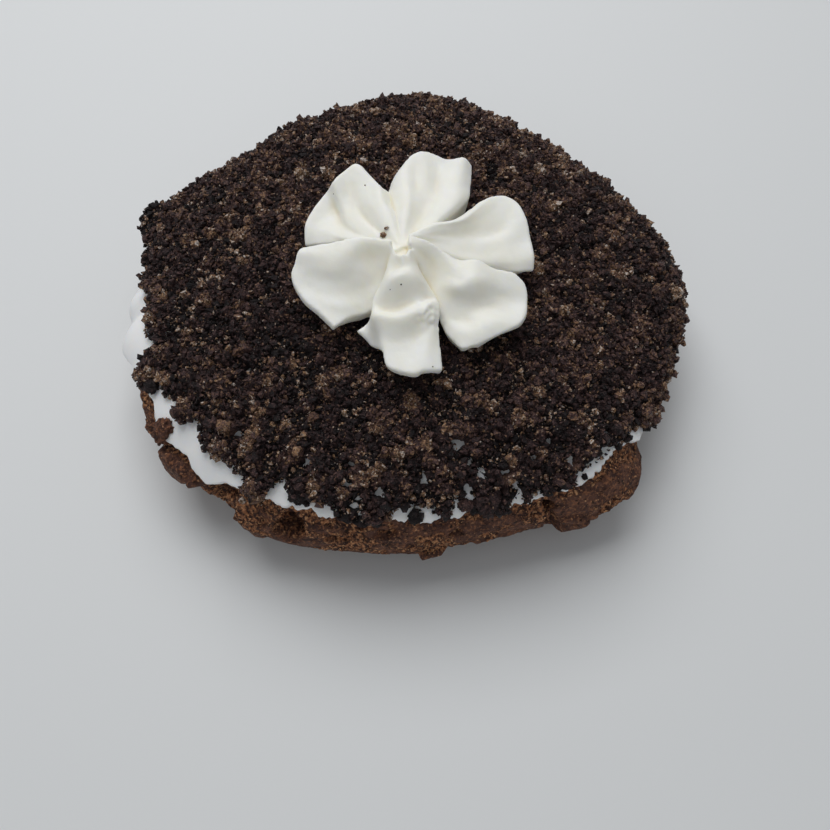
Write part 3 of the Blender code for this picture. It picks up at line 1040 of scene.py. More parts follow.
@dataclass
class IcingSheet(Layer):
    """The icing: a smooth sheet with a wavering lip and a run that stands out at the left."""

    around_count: int = 960
    outer_rings: int = 84

    def edge(self, azimuth: Numbers) -> np.ndarray:
        """Slope of the icing's lower edge."""
        return self.form.icing_edge(azimuth)

    def low(self, azimuth: Numbers, slope: Numbers) -> np.ndarray:
        """Lift of the face on the cake."""
        return np.full(np.broadcast(azimuth, slope).shape, self.form.layer_gap)

    def high(self, azimuth: Numbers, slope: Numbers) -> np.ndarray:
        """Lift of the face that shows, a little uneven."""
        waver = 0.08 * MM * noise_at(self.form.surface(azimuth, slope, 0.0), 150.0, 2.0)
        return self.form.icing_lift(azimuth, slope) + waver * smooth((80.0 - slope) / 20.0)

    def build(self) -> bpy.types.Object:
        """Build the sheet.

        Returns:
            The piece.
        """
        return self.lathe()[0].piece("icing_sheet")

    def dress(self, piece: bpy.types.Object, material: bpy.types.Material) -> None:
        """Finish the piece and place it on the body.

        Args:
            piece: The piece.
            material: Its finish.
        """
        piece.data.materials.append(material)
        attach(piece, BODY)
        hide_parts("icing")


@dataclass
class Clumps:
    """Lumps of pressed crumb: where they lie, how far they stand up and how pale they are."""

    form: CakeForm
    count: int = 5200
    seed: int = 23
    top_share: float = 0.78
    side_slopes: tuple[float, float] = (0.0, 45.0)
    # The least, and how much more the largest has.
    radius_mm: tuple[float, float] = (0.55, 1.25)
    height_mm: tuple[float, float] = (0.4, 1.1)
    height_spread: tuple[float, float] = (0.6, 1.15)
    tone_kinds: tuple[tuple[float, float, float], ...] = (
        (0.66, 0.08, 0.36),
        (0.93, 0.36, 0.54),
        (1.0, 0.58, 0.78),
    )
    tan_spots: tuple[tuple[float, float, float, float], ...] = (
        (-130.5, 49.0, 1.5, 0.68), (-129.5, 44.0, 1.4, 0.72), (-134.0, 54.0, 1.2, 0.62),
        (-112.5, 41.5, 1.2, 0.74), (-105.5, 39.5, 1.0, 0.66), (-101.5, 60.5, 1.4, 0.62),
        (-95.0, 53.5, 1.0, 0.68), (-100.5, 47.0, 1.3, 0.7), (-134.5, 35.5, 1.6, 0.62),
        (-123.0, 68.5, 1.1, 0.76), (-124.5, 56.5, 0.8, 0.78), (-91.5, 67.0, 1.4, 0.74),
        (-65.5, 62.5, 1.1, 0.7), (-87.0, 55.5, 0.9, 0.72), (166.5, 62.5, 1.5, 0.72),
        (0.5, 53.0, 1.7, 0.66), (-59.5, 44.5, 1.0, 0.62), (-68.5, 39.0, 1.0, 0.6),
        (-157.5, 32.0, 1.3, 0.66), (-122.0, 30.0, 1.5, 0.7), (-124.0, 34.0, 1.2, 0.62),
        (-95.0, 29.5, 1.0, 0.64), (-31.0, 21.0, 2.2, 0.56), (-25.0, 16.0, 2.4, 0.55),
        (-17.0, 15.0, 2.0, 0.52), (-8.0, 17.0, 2.0, 0.5),
    )
    spots: list[tuple[float, float, float]] = field(default_factory=list)
    radii: list[float] = field(default_factory=list)
    heights: list[float] = field(default_factory=list)
    tones: list[float] = field(default_factory=list)

    def scatter(self) -> None:
        """Lay the clumps out, evenly over the top and down the side."""
        rng = random.Random(self.seed)
        for _ in range(self.count):
            azimuth = rng.uniform(-180.0, 180.0)
            if rng.random() < self.top_share:
                slope = math.degrees(math.acos(math.sqrt(rng.random()) ** (1.0 / self.form.shoulder)))
            else:
                slope = rng.uniform(*self.side_slopes)
            size = rng.random() ** 1.7
            self.spots.append(tuple(self.form.surface(azimuth, slope, 3.5 * MM).tolist()))
            self.radii.append(MM * (self.radius_mm[0] + self.radius_mm[1] * size))
            height = MM * (self.height_mm[0] + self.height_mm[1] * size)
            self.heights.append(height * rng.uniform(*self.height_spread))
            # Each clump's tone, with painted light and shade by its side of the cake.
            self.tones.append(self.draw_tone(rng) + self.painted_side_light(azimuth))

    @staticmethod
    def painted_side_light(azimuth: float) -> float:
        """Lighten the crumbs towards the back and darken them at the front: painted light and shade for the
        side the light falls on.
        """
        return 0.085 * (1.0 + math.cos(math.radians(azimuth - 80.0))) - 0.02

    def draw_tone(self, rng: random.Random) -> float:
        """Draw a clump's tone: most are near black, some brown and a few tan."""
        kind = rng.random()
        return next(rng.uniform(low, high) for share, low, high in self.tone_kinds if kind < share)

    def read(self, points: np.ndarray) -> tuple[np.ndarray, np.ndarray]:
        """Give the relief and the tone of the clumps at points, with painted shade in the crevices between
        them.

        Args:
            points: One point a row.

        Returns:
            The rise in metres and the tone, for each point.
        """
        tree = near_tree(self.spots)
        rise = np.zeros(len(points))
        tone = np.full(len(points), 0.12)
        for place, point in enumerate(points.tolist()):
            best = 0.0
            for _, index, away in tree.find_n(point, 4):
                share = away / self.radii[index]
                dome = self.heights[index] * max(0.0, 1.0 - share ** 3)
                if dome > best:
                    best = dome
                    tone[place] = self.tones[index]
            rise[place] = best
        # Painted shade: darker where the clumps stand low, in the crevices between them.
        tone = tone - 0.14 * smooth(1.0 - rise / (0.75 * MM))
        for azimuth, slope, radius, pale in self.tan_spots:
            centre = self.form.surface(azimuth, slope, 3.0 * MM)
            away = np.linalg.norm(points - centre, axis=-1) / (radius * MM)
            near = smooth((1.35 + 0.8 * noise_at(points, 700.0, 12.0) - away) / 0.5)
            tone = tone + (pale - tone) * near
            rise = rise + 0.25 * MM * near
        return rise, tone


@dataclass
class CrumbBed(Layer):
    """The crust of packed crumbs: dense and lumpy, thinning to nothing along the open edge."""

    around_count: int = 760
    outer_rings: int = 112
    clumps: Clumps | None = None
    edge_in_deg: float = 0.8
    thin_rings: tuple[float, ...] = (0.1, 0.4, 0.7, 0.9)
    bulge: tuple[float, float, float, float] = (160.0, 11.0, 6.5, 4.4)
    holes: tuple[tuple[float, float, float], ...] = (
        (-166.0, 42.0, 0.9), (-144.0, 56.0, 0.65), (-134.0, 45.0, 0.8), (-78.0, 54.0, 0.9),
        (-88.0, 47.0, 0.9), (-88.0, 44.5, 0.8), (-76.0, 48.0, 0.65), (-74.0, 42.5, 1.0),
        (-78.0, 38.5, 0.9), (-78.0, 36.0, 0.8), (-68.0, 42.0, 0.9), (-71.0, 33.0, 1.0),
        (-68.0, 32.0, 1.15), (-67.0, 36.0, 0.8), (-56.0, 49.0, 0.8), (-61.0, 44.0, 0.65),
        (-98.0, 40.0, 0.9), (-103.0, 35.0, 1.15), (-102.0, 31.5, 0.8), (-106.0, 42.0, 0.65),
        (-106.0, 50.0, 0.65), (-116.0, 48.0, 0.65), (-44.0, 43.0, 0.8), (-46.0, 40.0, 0.65),
        (173.0, 31.0, 0.9), (176.0, 34.0, 0.65), (-145.0, 61.0, 0.65), (-164.0, 59.0, 0.65),
        (-54.0, 40.0, 0.9), (-50.0, 38.5, 0.65), (-27.0, 14.0, 0.9), (-21.0, 19.0, 0.8),
    )
    tone_under: float = 0.2

    def edge(self, azimuth: Numbers) -> np.ndarray:
        """Slope of the bed's lower edge, where loose crumbs take over."""
        return self.form.crumb_edge(azimuth) + self.edge_in_deg

    def hole_depth(self, azimuth: Numbers, slope: Numbers, margin: float = 0.0) -> np.ndarray:
        """Find where the bed has given way and the icing peeps through.

        Args:
            azimuth: Azimuths in degrees.
            slope: Slopes in degrees.
            margin: How much wider to read each hole, in metres.

        Returns:
            A number for each place, from 0 on the bed to 1 in a hole.
        """
        points = self.form.surface(azimuth, slope, 2.0 * MM)
        gone = np.zeros(points.shape[:-1])
        for at, level, radius in self.holes:
            centre = self.form.surface(at, level, 2.0 * MM)
            away = (np.linalg.norm(points - centre, axis=-1) - margin) / (radius * MM)
            gone = np.maximum(gone, smooth((1.2 + 1.3 * noise_at(points, 1000.0, 6.0) - away) / 0.5))
        return gone

    def low(self, azimuth: Numbers, slope: Numbers) -> np.ndarray:
        """Lift of the face that is sunk into the icing."""
        return self.form.icing_lift(azimuth, slope) - 0.5 * MM

    def high(self, azimuth: Numbers, slope: Numbers) -> np.ndarray:
        """Give the lift of the face that shows, before its clumps.

        Args:
            azimuth: Azimuths in degrees.
            slope: Slopes in degrees.

        Returns:
            The lift at each place, in metres.
        """
        away = slope - self.edge(azimuth)
        at, level, half_width, rise = self.bulge
        far = np.hypot(turn_between(at, azimuth) / half_width, (slope - level) / (2.0 * half_width))
        thick = 0.65 + 0.4 * smooth(away / 6.0) + rise * smooth(1.2 - far)
        return self.form.icing_lift(azimuth, slope) + MM * thick

    def build(self) -> bpy.types.Object:
        """Build the bed.

        Returns:
            The piece.
        """
        lathe, azimuth, outer = self.lathe()
        inner_count = len(self.inner_shares)
        shown = lathe.rings[inner_count:]
        rise, tone = (numbers.reshape(outer.shape) for numbers in self.clumps.read(shown.reshape(-1, 3)))
        grit = 0.24 * MM * noise_at(shown, 1100.0) + 0.16 * MM * noise_at(shown, 2300.0)
        keep = np.ones((len(outer), 1))
        keep[: len(self.thin_rings), 0] = self.thin_rings
        gone = self.hole_depth(azimuth, outer)
        thick = self.high(azimuth, outer) - self.form.icing_lift(azimuth, outer)
        lift = (rise + grit) * keep * (1.0 - gone) - (thick + 0.3 * MM) * gone
        normal = self.form.surface(azimuth, outer, 1.0) - self.form.surface(azimuth, outer, 0.0)
        lathe.rings[inner_count:] = shown + normal * lift[..., None]
        bed = lathe.piece("crumb_bed")
        under = np.full((inner_count, self.around_count), self.tone_under)
        lathe.keep(bed.data, "tone", np.concatenate([under, tone]), self.tone_under)
        return bed

    def dress(self, piece: bpy.types.Object, material: bpy.types.Material) -> None:
        """Finish the piece and place it on the body.

        Args:
            piece: The piece.
            material: Its finish.
        """
        piece.data.materials.append(material)
        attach(piece, BODY)
        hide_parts("crumb_topping")


# ---------------------------------------------------------------- loose crumbs

class CrumbTree:
    """The node tree that strews crumbs over a surface; one tree serves every kind."""

    NAME = "strew_crumbs"
    MOST_PER_SQUARE_METRE = 2.0e7
    MOST_SHAPES = 1000

    def __init__(self) -> None:
        """Build the tree with its named inputs."""
        tree = bpy.data.node_groups.new(self.NAME, "GeometryNodeTree")
        self.tree = tree
        self.sockets: dict[str, str] = {}
        for label, kind in (
            ("Geometry", "NodeSocketGeometry"),
            ("Spacing", "NodeSocketFloat"),
            ("Smallest", "NodeSocketFloat"),
            ("Largest", "NodeSocketFloat"),
            ("Rise", "NodeSocketFloat"),
            ("Tone Jitter", "NodeSocketFloat"),
            ("Tone Shift", "NodeSocketFloat"),
            ("Seed", "NodeSocketInt"),
            ("Shapes", "NodeSocketCollection"),
            ("Finish", "NodeSocketMaterial"),
        ):
            socket = tree.interface.new_socket(label, in_out="INPUT", socket_type=kind)
            self.sockets[label] = socket.identifier
        tree.interface.new_socket("Geometry", in_out="OUTPUT", socket_type="NodeSocketGeometry")
        self.lay_nodes(Bench(tree))

    @staticmethod
    def draw(bench: Bench, kind: str, low: object, high: object, seed: Socket) -> Socket:
        """Draw a random value of a kind for each crumb.

        Args:
            bench: The tree's bench.
            kind: Blender's name of the kind.
            low: The least value or its socket.
            high: The greatest value or its socket.
            seed: The seed's socket.

        Returns:
            The value's socket.
        """
        row = ("FLOAT_VECTOR", "FLOAT", "INT").index(kind)
        inputs = {2 * row: low, 2 * row + 1: high, "Seed": seed}
        return bench.add("FunctionNodeRandomValue", inputs, data_type=kind).outputs[row]

    def lay_nodes(self, bench: Bench) -> None:
        """Lay out the nodes.

        Args:
            bench: The tree's bench.
        """
        given = bench.add("NodeGroupInput").outputs
        seed = given["Seed"]
        named = "GeometryNodeInputNamedAttribute"
        cover = bench.add(named, {"Name": "cover"}, data_type="FLOAT").outputs["Attribute"]
        tone = bench.add(named, {"Name": "tone"}, data_type="FLOAT").outputs["Attribute"]
        places = {
            "Mesh": given["Geometry"],
            "Distance Min": given["Spacing"],
            "Density Max": self.MOST_PER_SQUARE_METRE,
            "Density Factor": cover,
            "Seed": seed,
        }
        strewn = bench.add("GeometryNodeDistributePointsOnFaces", places, distribute_method="POISSON").outputs
        size = self.draw(bench, "FLOAT", given["Smallest"], given["Largest"], seed)
        turn = self.draw(bench, "FLOAT_VECTOR", (0.0,) * 3, (2.0 * math.pi,) * 3, seed)
        raised = {0: strewn["Normal"], "Scale": bench.times(size, given["Rise"])}
        offset = bench.add("ShaderNodeVectorMath", raised, operation="SCALE").outputs[0]
        lifted = bench.add("GeometryNodeSetPosition", {"Geometry": strewn["Points"], "Offset": offset})
        chosen = {"Collection": given["Shapes"], "Separate Children": True, "Reset Children": True}
        lumps = {
            "Points": lifted.outputs[0],
            "Instance": bench.add("GeometryNodeCollectionInfo", chosen).outputs[0],
            "Pick Instance": True,
            "Instance Index": self.draw(bench, "INT", 0, self.MOST_SHAPES, seed),
            "Rotation": bench.add("FunctionNodeEulerToRotation", {0: turn}).outputs[0],
            "Scale": size,
        }
        placed = bench.add("GeometryNodeInstanceOnPoints", lumps).outputs[0]
        reach = given["Tone Jitter"]
        jitter = self.draw(bench, "FLOAT", bench.times(reach, -1.0), reach, seed)
        toned = bench.plus(bench.plus(tone, jitter), given["Tone Shift"], clamp=True)
        kept = {"Geometry": placed, "Name": "tone", "Value": toned}
        toned = bench.add("GeometryNodeStoreNamedAttribute", kept, data_type="FLOAT", domain="INSTANCE")
        real = bench.add("GeometryNodeRealizeInstances", {0: toned.outputs[0]}).outputs[0]
        dressed = bench.add("GeometryNodeSetMaterial", {"Geometry": real, "Material": given["Finish"]})
        bench.add("NodeGroupOutput", {0: dressed.outputs[0]})


class Cover(Enum):
    """Where a kind of crumb lies."""

    ALL = "all over the crust"
    COARSE = "mostly along the open edge"


@dataclass(frozen=True)
class CrumbKind:
    """One kind of loose crumb: how big, how many corners, how densely strewn and how toned."""

    name: str
    radius: float
    corners: int
    spacing: float
    smallest: float
    largest: float
    rise: float
    jitter: float
    shift: float
    seed: int
    flatness: float = 0.8
    shape_count: int = 6
    cover: Cover = Cover.ALL

    def shapes(self) -> bpy.types.Collection:
        """Make the kind's angular lumps.

        Returns:
            A collection that holds them, outside the scene.
        """
        rng = random.Random(self.seed)
        collection = bpy.data.collections.new(self.name + "_shapes")
        for index in range(self.shape_count):
            lump = bmesh.new()
            for _ in range(self.corners):
                way = Vector([rng.gauss(0.0, 1.0) for _ in range(3)]).normalized()
                way *= self.radius * rng.uniform(0.82, 1.12)
                way.z *= self.flatness
                lump.verts.new(way)
            hull = bmesh.ops.convex_hull(lump, input=lump.verts)
            parts = hull["geom_interior"] + hull["geom_unused"]
            loose = {part for part in parts if isinstance(part, bmesh.types.BMVert)}
            bmesh.ops.delete(lump, geom=list(loose), context="VERTS")
            for corner in lump.verts:
                corner.co *= rng.choice((1.08, 1.0, 0.84, 0.68))
            bmesh.ops.recalc_face_normals(lump, faces=lump.faces)
            mesh = bpy.data.meshes.new(f"{self.name}_shape_{index}")
            lump.to_mesh(mesh)
            lump.free()
            collection.objects.link(bpy.data.objects.new(mesh.name, mesh))
        return collection


@dataclass
class LooseCrumbs:
    """Crumbs strewn over the bed and down its thin edge, one piece for each kind."""

    form: CakeForm
    bed: CrumbBed
    rosette_at: tuple[float, float]
    around_count: int = 800
    rings: int = 210
    ground_from: float = -5.0
    ground_to: float = 89.5
    bare_round_rosette_mm: float = 9.0
    fallen_share: float = 0.05
    fallen_reach: float = 50.0
    kept_from_holes: float = 0.94
    tone_levels: int = 48
    shade_levels: int = 24
    palest_share: float = 0.01
    map_reach: float = 0.36
    kinds: tuple[CrumbKind, ...] = (
        CrumbKind("crumbs_fine_dark", 0.28 * MM, 8, 0.71 * MM, 0.6, 1.5, 0.4, 0.18, -0.04, 11),
        CrumbKind("crumbs_fine_brown", 0.26 * MM, 8, 0.71 * MM, 0.6, 1.45, 0.6, 0.26, 0.1, 12),
        CrumbKind("crumbs_fine_mixed", 0.27 * MM, 8, 0.71 * MM, 0.55, 1.55, 0.5, 0.36, 0.03, 13),
        CrumbKind("crumbs_middling", 0.46 * MM, 12, 0.94 * MM, 0.65, 1.5, 0.5, 0.26, 0.02, 14, 0.8, 8),
        CrumbKind("crumbs_lumps", 0.68 * MM, 20, 1.75 * MM, 0.7, 1.5, 0.4, 0.16, 0.0, 15, 0.8, 10),
        CrumbKind(
            "crumbs_coarse", 0.95 * MM, 26, 3.3 * MM, 0.75, 1.4, 0.2, 0.14, -0.02, 16, 0.8, 10, Cover.COARSE
        ),
    )
    azimuth: np.ndarray = field(init=False)
    slope: np.ndarray = field(init=False)
    lowest: np.ndarray = field(init=False)
    tone: np.ndarray = field(init=False)
    at: np.ndarray = field(init=False)

    def lay_ground(self) -> None:
        """Work out the surface that crumbs are strewn on and its tone, once for all kinds."""
        form = self.form
        azimuth = even_turns(self.around_count)
        self.lowest = form.crumb_edge(azimuth)
        start = self.lowest + self.ground_from
        slope = start + (self.ground_to - start) * np.linspace(0.0, 1.0, self.rings)[:, None]
        on_bed = smooth((slope - self.bed.edge(azimuth)) / 1.6 + 0.5)
        on_icing = smooth((slope - form.icing_edge(azimuth)) / 1.5)
        ground = form.icing_lift(azimuth, slope)
        lift = ground * on_icing + (self.bed.high(azimuth, slope) - ground) * on_bed
        rise, self.tone = self.bed.clumps.read(form.surface(azimuth, slope, lift).reshape(-1, 3))
        rise = rise.reshape(slope.shape)
        self.azimuth, self.slope = azimuth, slope
        self.at = form.surface(azimuth, slope, lift + rise * (0.15 + 0.85 * on_bed))

    def host(self, kind: CrumbKind) -> bpy.types.Object:
        """Make the surface that crumbs are strewn on, with how densely they lie.

        Args:
            kind: The kind of crumb to be strewn.

        Returns:
            The surface, which isn't a piece.
        """
        above = self.slope - self.lowest
        ragged = noise_at(self.at, 520.0, 3.0) + 0.6 * noise_at(self.at, 1100.0, 8.0)
        spread = smooth((above + 0.3 + 1.4 * ragged) / 1.0)
        fallen = self.fallen_share * smooth((self.slope - self.form.icing_edge(self.azimuth) - 1.0) / 2.0)
        front = smooth(1.0 - np.abs(turn_between(self.form.open_middle, self.azimuth)) / self.fallen_reach)
        spread = np.maximum(spread, fallen * front)
        hole = self.bed.hole_depth(self.azimuth, self.slope, 0.6 * kind.radius)
        spread = spread * (1.0 - self.kept_from_holes * hole)
        away = np.hypot(self.at[..., 0] - self.rosette_at[0], self.at[..., 1] - self.rosette_at[1])
        spread = spread * smooth((away / MM - self.bare_round_rosette_mm) / 3.0)
        if kind.cover is Cover.COARSE:
            open_side = smooth((np.cos(np.radians(self.azimuth + 100.0)) + 0.25) / 0.6)
            spread = spread * (0.1 + 0.9 * (smooth((34.0 - above) / 26.0) * open_side))
        index = np.arange(self.slope.size).reshape(self.slope.shape)
        ahead = np.roll(index, -1, axis=1)
        faces = quads(index[:-1], ahead[:-1], ahead[1:], index[1:])
        host = mesh_object("strewn_on", self.at.reshape(-1, 3), faces)
        write_attribute(host.data, "cover", spread)
        write_attribute(host.data, "tone", self.tone)
        return host

    def strew(self, kind: CrumbKind, tree: CrumbTree, material: bpy.types.Material) -> bpy.types.Object:
        """Strew one kind of crumb.

        Args:
            kind: The kind.
            tree: The node tree that strews.
            material: The crumbs' finish.

        Returns:
            The piece.
        """
        host = self.host(kind)
        shapes = kind.shapes()
        strewing = host.modifiers.new("strewing", "NODES")
        strewing.node_group = tree.tree
        inputs = {
            "Spacing": kind.spacing,
            "Smallest": kind.smallest,
            "Largest": kind.largest,
            "Rise": kind.rise * kind.radius,
            "Tone Jitter": kind.jitter,
            "Tone Shift": kind.shift,
            "Seed": kind.seed,
            "Shapes": shapes,
            "Finish": material,
        }
        for label, value in inputs.items():
            strewing[tree.sockets[label]] = value
        mesh = settle(host, kind.name)
        for shape in list(shapes.objects):
            bpy.data.objects.remove(shape, do_unlink=True)
        bpy.data.collections.remove(shapes)
        self.tint(mesh, kind.seed)
        return add_object(kind.name, mesh)

    def tint(self, mesh: bpy.types.Mesh, seed: int) -> None:
        """Keep each crumb's tone and each face's shade in even steps, and lay the map by them.

        Args:
            mesh: The crumbs.
            seed: For the faces' shades.
        """
        tones, shades = self.tone_levels, self.shade_levels
        tone = read_numbers(mesh.attributes["tone"].data, "value", np.float32)
        draw = (tone * 7919.0) % 1.0
        tone = np.where(draw < self.palest_share, 0.8 + 15.0 * draw, tone)
        level = np.clip(np.round(tone * (tones - 1)), 0, tones - 1).astype(int)
        write_attribute(mesh, "tone", level / (tones - 1))
        shade = np.random.default_rng(seed).integers(0, shades, len(mesh.polygons))
        write_attribute(mesh, "facet", shade / (shades - 1), Domain.FACE)
        loops = read_numbers(mesh.loops, "vertex_index", np.int64)
        sizes = read_numbers(mesh.polygons, "loop_total", np.int64)
        first = read_numbers(mesh.polygons, "loop_start", np.int64)
        face = np.repeat(np.arange(len(sizes)), sizes)
        reach = 2.0 * math.pi * (np.arange(len(loops)) - first[face]) / sizes[face]
        across = (level[loops] + 0.5 + self.map_reach * np.cos(reach)) / tones
        write_map(mesh, across, (shade[face] + 0.5 + self.map_reach * np.sin(reach)) / shades)

    def build(self, material: bpy.types.Material) -> list[bpy.types.Object]:
        """Strew every kind and place it on the body.

        Args:
            material: The crumbs' finish.

        Returns:
            The pieces.
        """
        self.lay_ground()
        tree = CrumbTree()
        pieces = []
        for kind in self.kinds:
            piece = self.strew(kind, tree, material)
            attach(piece, BODY)
            pieces.append(piece)
        return pieces


# ---------------------------------------------------------------- the rosette

# Each petal's ribs, side by side. A rib runs from the pinch to the rim, and each of its points is
# x and y from the middle and the height over the crumbs, in millimetres.
LEFT_PETAL = (
    ((-2.5, 3, 10), (-7, 4, 9.5), (-12, 3.5, 9), (-18, 3, 8)),
    ((-2.5, 2, 9.5), (-7, 3, 9), (-12, 1, 8.5), (-18.5, 2, 8)),
    ((-2, 1, 8.5), (-6.5, 1.5, 7.5), (-12, -1, 7.5), (-19, 0.5, 7)),
    ((-2.5, 0, 7), (-6, -0.5, 6), (-12, -2.5, 6), (-19.5, -1, 6.5)),
    ((-3, -1, 6), (-6.5, -2.5, 4.5), (-12, -4.5, 5), (-19, -3, 6)),
    ((-3.5, -1.5, 5.5), (-6.5, -4.5, 3.5), (-11, -6.5, 4.5), (-17, -6, 5.5)),
    ((-3.5, -1.5, 5), (-6, -5, 3), (-10.5, -7.5, 4), (-14.5, -8, 5)),
    ((-3.5, -1.5, 4.5), (-6, -6, 2.5), (-9.5, -8, 3.5), (-12, -10.5, 4.5)),
)
UPPER_LEFT_PETAL = (
    ((-1.5, 3, 7), (-8.5, 6.5, 5), (-13.5, 7, 4), (-18, 7, 3.5)),
    ((-1.5, 3.5, 7), (-10.5, 7, 5), (-15, 9.5, 4.5), (-18, 10.5, 5)),
    ((-1.5, 3.5, 7), (-10.5, 8, 5), (-14, 11.5, 4.5), (-16.5, 14, 5.5)),
    ((-1.5, 3.5, 7), (-10, 9, 5), (-12.5, 13.5, 4.5), (-14.5, 17, 6)),
    ((-1, 3.5, 7), (-9.5, 9.5, 5.5), (-11.5, 14, 6), (-13, 18, 8)),
    ((-1, 3.5, 7), (-8.5, 11, 6), (-10, 16, 6.5), (-11.5, 20, 8)),
    ((-1, 3.5, 7), (-7, 10.5, 6), (-8.5, 16, 7), (-9, 21.5, 8.5)),
    ((-1, 3.5, 7), (-5, 10.5, 7.5), (-6.5, 15, 7.5), (-6.5, 19, 8)),
    ((-1, 3.5, 7), (-3, 10.5, 8), (-4, 13, 8), (-4.5, 16.5, 8)),
    ((-0.5, 4, 7), (-1.5, 10, 7), (-2, 13.5, 6), (-3, 17, 5.5)),
)
TOP_PETAL = (
    ((-0.5, 4, 7), (-1.5, 10, 7.5), (-3, 14, 6), (-3.5, 17, 5)),
    ((-0.5, 4, 7), (-0.5, 10.5, 8), (-1.5, 14.5, 7.5), (-2.5, 19, 7)),
    ((-0.5, 4, 7), (0.5, 11.5, 8), (0, 16.5, 8), (-1, 21, 8)),
    ((-0.5, 4, 7), (1.5, 12.5, 7.5), (1.5, 18, 7.5), (1, 23.5, 8.5)),
    ((0, 4, 7), (3, 13, 7), (3.5, 18.5, 7.5), (3, 24.5, 8.5)),
    ((0, 4, 7), (4.5, 13, 7), (5.5, 18.5, 7), (5.5, 24, 8)),
    ((0.5, 4, 7), (6, 13, 7.5), (7, 17.5, 7.5), (7.5, 23.5, 7.5)),
    ((0.5, 4, 7), (8.5, 13, 7.5), (9.5, 18, 7.5), (10.5, 24, 7.5)),
    ((0.5, 4, 7), (10, 13.5, 6.5), (11.5, 18.5, 6), (12, 23.5, 6)),
)
RIGHT_PETAL = (
    ((0.5, 5, 8.5), (4.5, 8, 8), (8.5, 9.5, 7.5), (13, 13, 8)),
    ((0.5, 5, 9), (5, 7.5, 8.5), (9.5, 9, 8), (14.5, 14, 8)),
    ((0.5, 4.5, 9), (6, 7.5, 8), (11, 9.5, 7.5), (16, 14.5, 8)),
    ((1, 4.5, 9), (7, 7.5, 7.5), (13, 10, 7), (17.5, 14.5, 8)),
    ((1, 4.5, 9), (8, 7, 6.5), (15, 9.5, 6.5), (19, 13.5, 8)),
    ((1, 4.5, 9), (9, 6.5, 6), (16, 8, 6), (20, 12, 8)),
    ((1.5, 4.5, 8), (10.5, 5.5, 5.5), (16.5, 6.5, 6), (21, 9.5, 7.5)),
    ((2.5, 4, 7.5), (11.5, 4, 5), (17.5, 4.5, 5.5), (21.5, 6.5, 6.5)),
    ((3.5, 3.5, 6.5), (13, 2.5, 4.5), (18, 2.5, 5), (22, 3, 6)),
    ((5, 3, 5), (14, 1.5, 3), (18.5, 1, 4), (22, 1, 4.5)),
)
LOWER_RIGHT_PETAL = (
    ((0.5, 4, 10), (4, 3, 9.5), (8.5, 0.5, 8), (12, 0.5, 8), (15, -0.5, 7), (18.5, -1, 6.5)),
    ((0.5, 2.5, 10), (4.5, 2, 8.5), (8.5, -1, 8), (12, -1.5, 8), (16, -2, 6.5), (20, -2.5, 6)),
    ((1, 2, 9.5), (4.5, 0.5, 7), (8.5, -3, 7.5), (11.5, -3.5, 8), (16, -3.5, 6), (20.5, -4, 5.5)),
    ((1, 1, 9), (4.5, -1.5, 5.5), (8, -4.5, 7), (11, -5, 7), (15.5, -5, 5), (20.5, -6, 5)),
    ((1.5, 1, 7.5), (4, -3, 4.5), (7.5, -5.5, 5), (10.5, -6.5, 5), (15, -7, 4.5), (20, -8.5, 5)),
    ((2, 0, 6), (4, -4.5, 4), (7, -7.5, 3.5), (10, -9, 4), (14, -9.5, 5), (18.5, -10.5, 5)),
    ((2.5, -1.5, 5.5), (4.5, -5.5, 3), (7, -9, 3), (9, -11, 4), (12, -12, 4.5), (15.5, -12, 4.5)),
    ((3, -2, 4.5), (5, -6, 2.5), (6.5, -10, 2.5), (8, -12.5, 3), (9.5, -14, 3.5), (12, -13.5, 4)),
)
BOTTOM_PETAL = (
    ((-2.5, 2.5, 9), (-3, 0, 7.5), (-4, -2.5, 6), (-5.5, -5.5, 5), (-6, -8.5, 4), (-7, -9.5, 3),
     (-8, -10.5, 3)),
    ((-2, 1, 9.5), (-2.5, -1.5, 8), (-3.5, -4, 8), (-5, -7, 5.5), (-5.5, -9.5, 6), (-5.5, -11.5, 3),
     (-6, -12.5, 1.5)),
    ((-1.5, 0, 10), (-1, -2, 9), (-2.5, -4.5, 9.5), (-3.5, -8, 6), (-4, -10, 7), (-4, -12.5, 5),
     (-4, -15, 4)),
    ((-0.5, -0.5, 10.5), (-0.5, -2.5, 9.5), (-1, -4.5, 10), (-1, -8, 6.5), (-1.5, -10.5, 7), (-2, -13.5, 5),
     (-3, -18, 4.5)),
    ((0, 0, 10), (0.5, -2, 9.5), (1, -4, 9.5), (2, -7, 7), (2, -9.5, 7.5), (1.5, -13, 5), (1, -19.5, 5)),
    ((0.5, 1, 10), (1, -1, 9), (2.5, -3.5, 8), (3.5, -6, 6), (4, -8, 7.5), (4, -12, 5.5), (3, -19, 5)),
    ((1, 1.5, 9.5), (2, -0.5, 7.5), (3.5, -2.5, 5.5), (5, -5, 4.5), (5.5, -7.5, 6), (5.5, -12, 4.5),
     (6, -18.5, 4.5)),
)


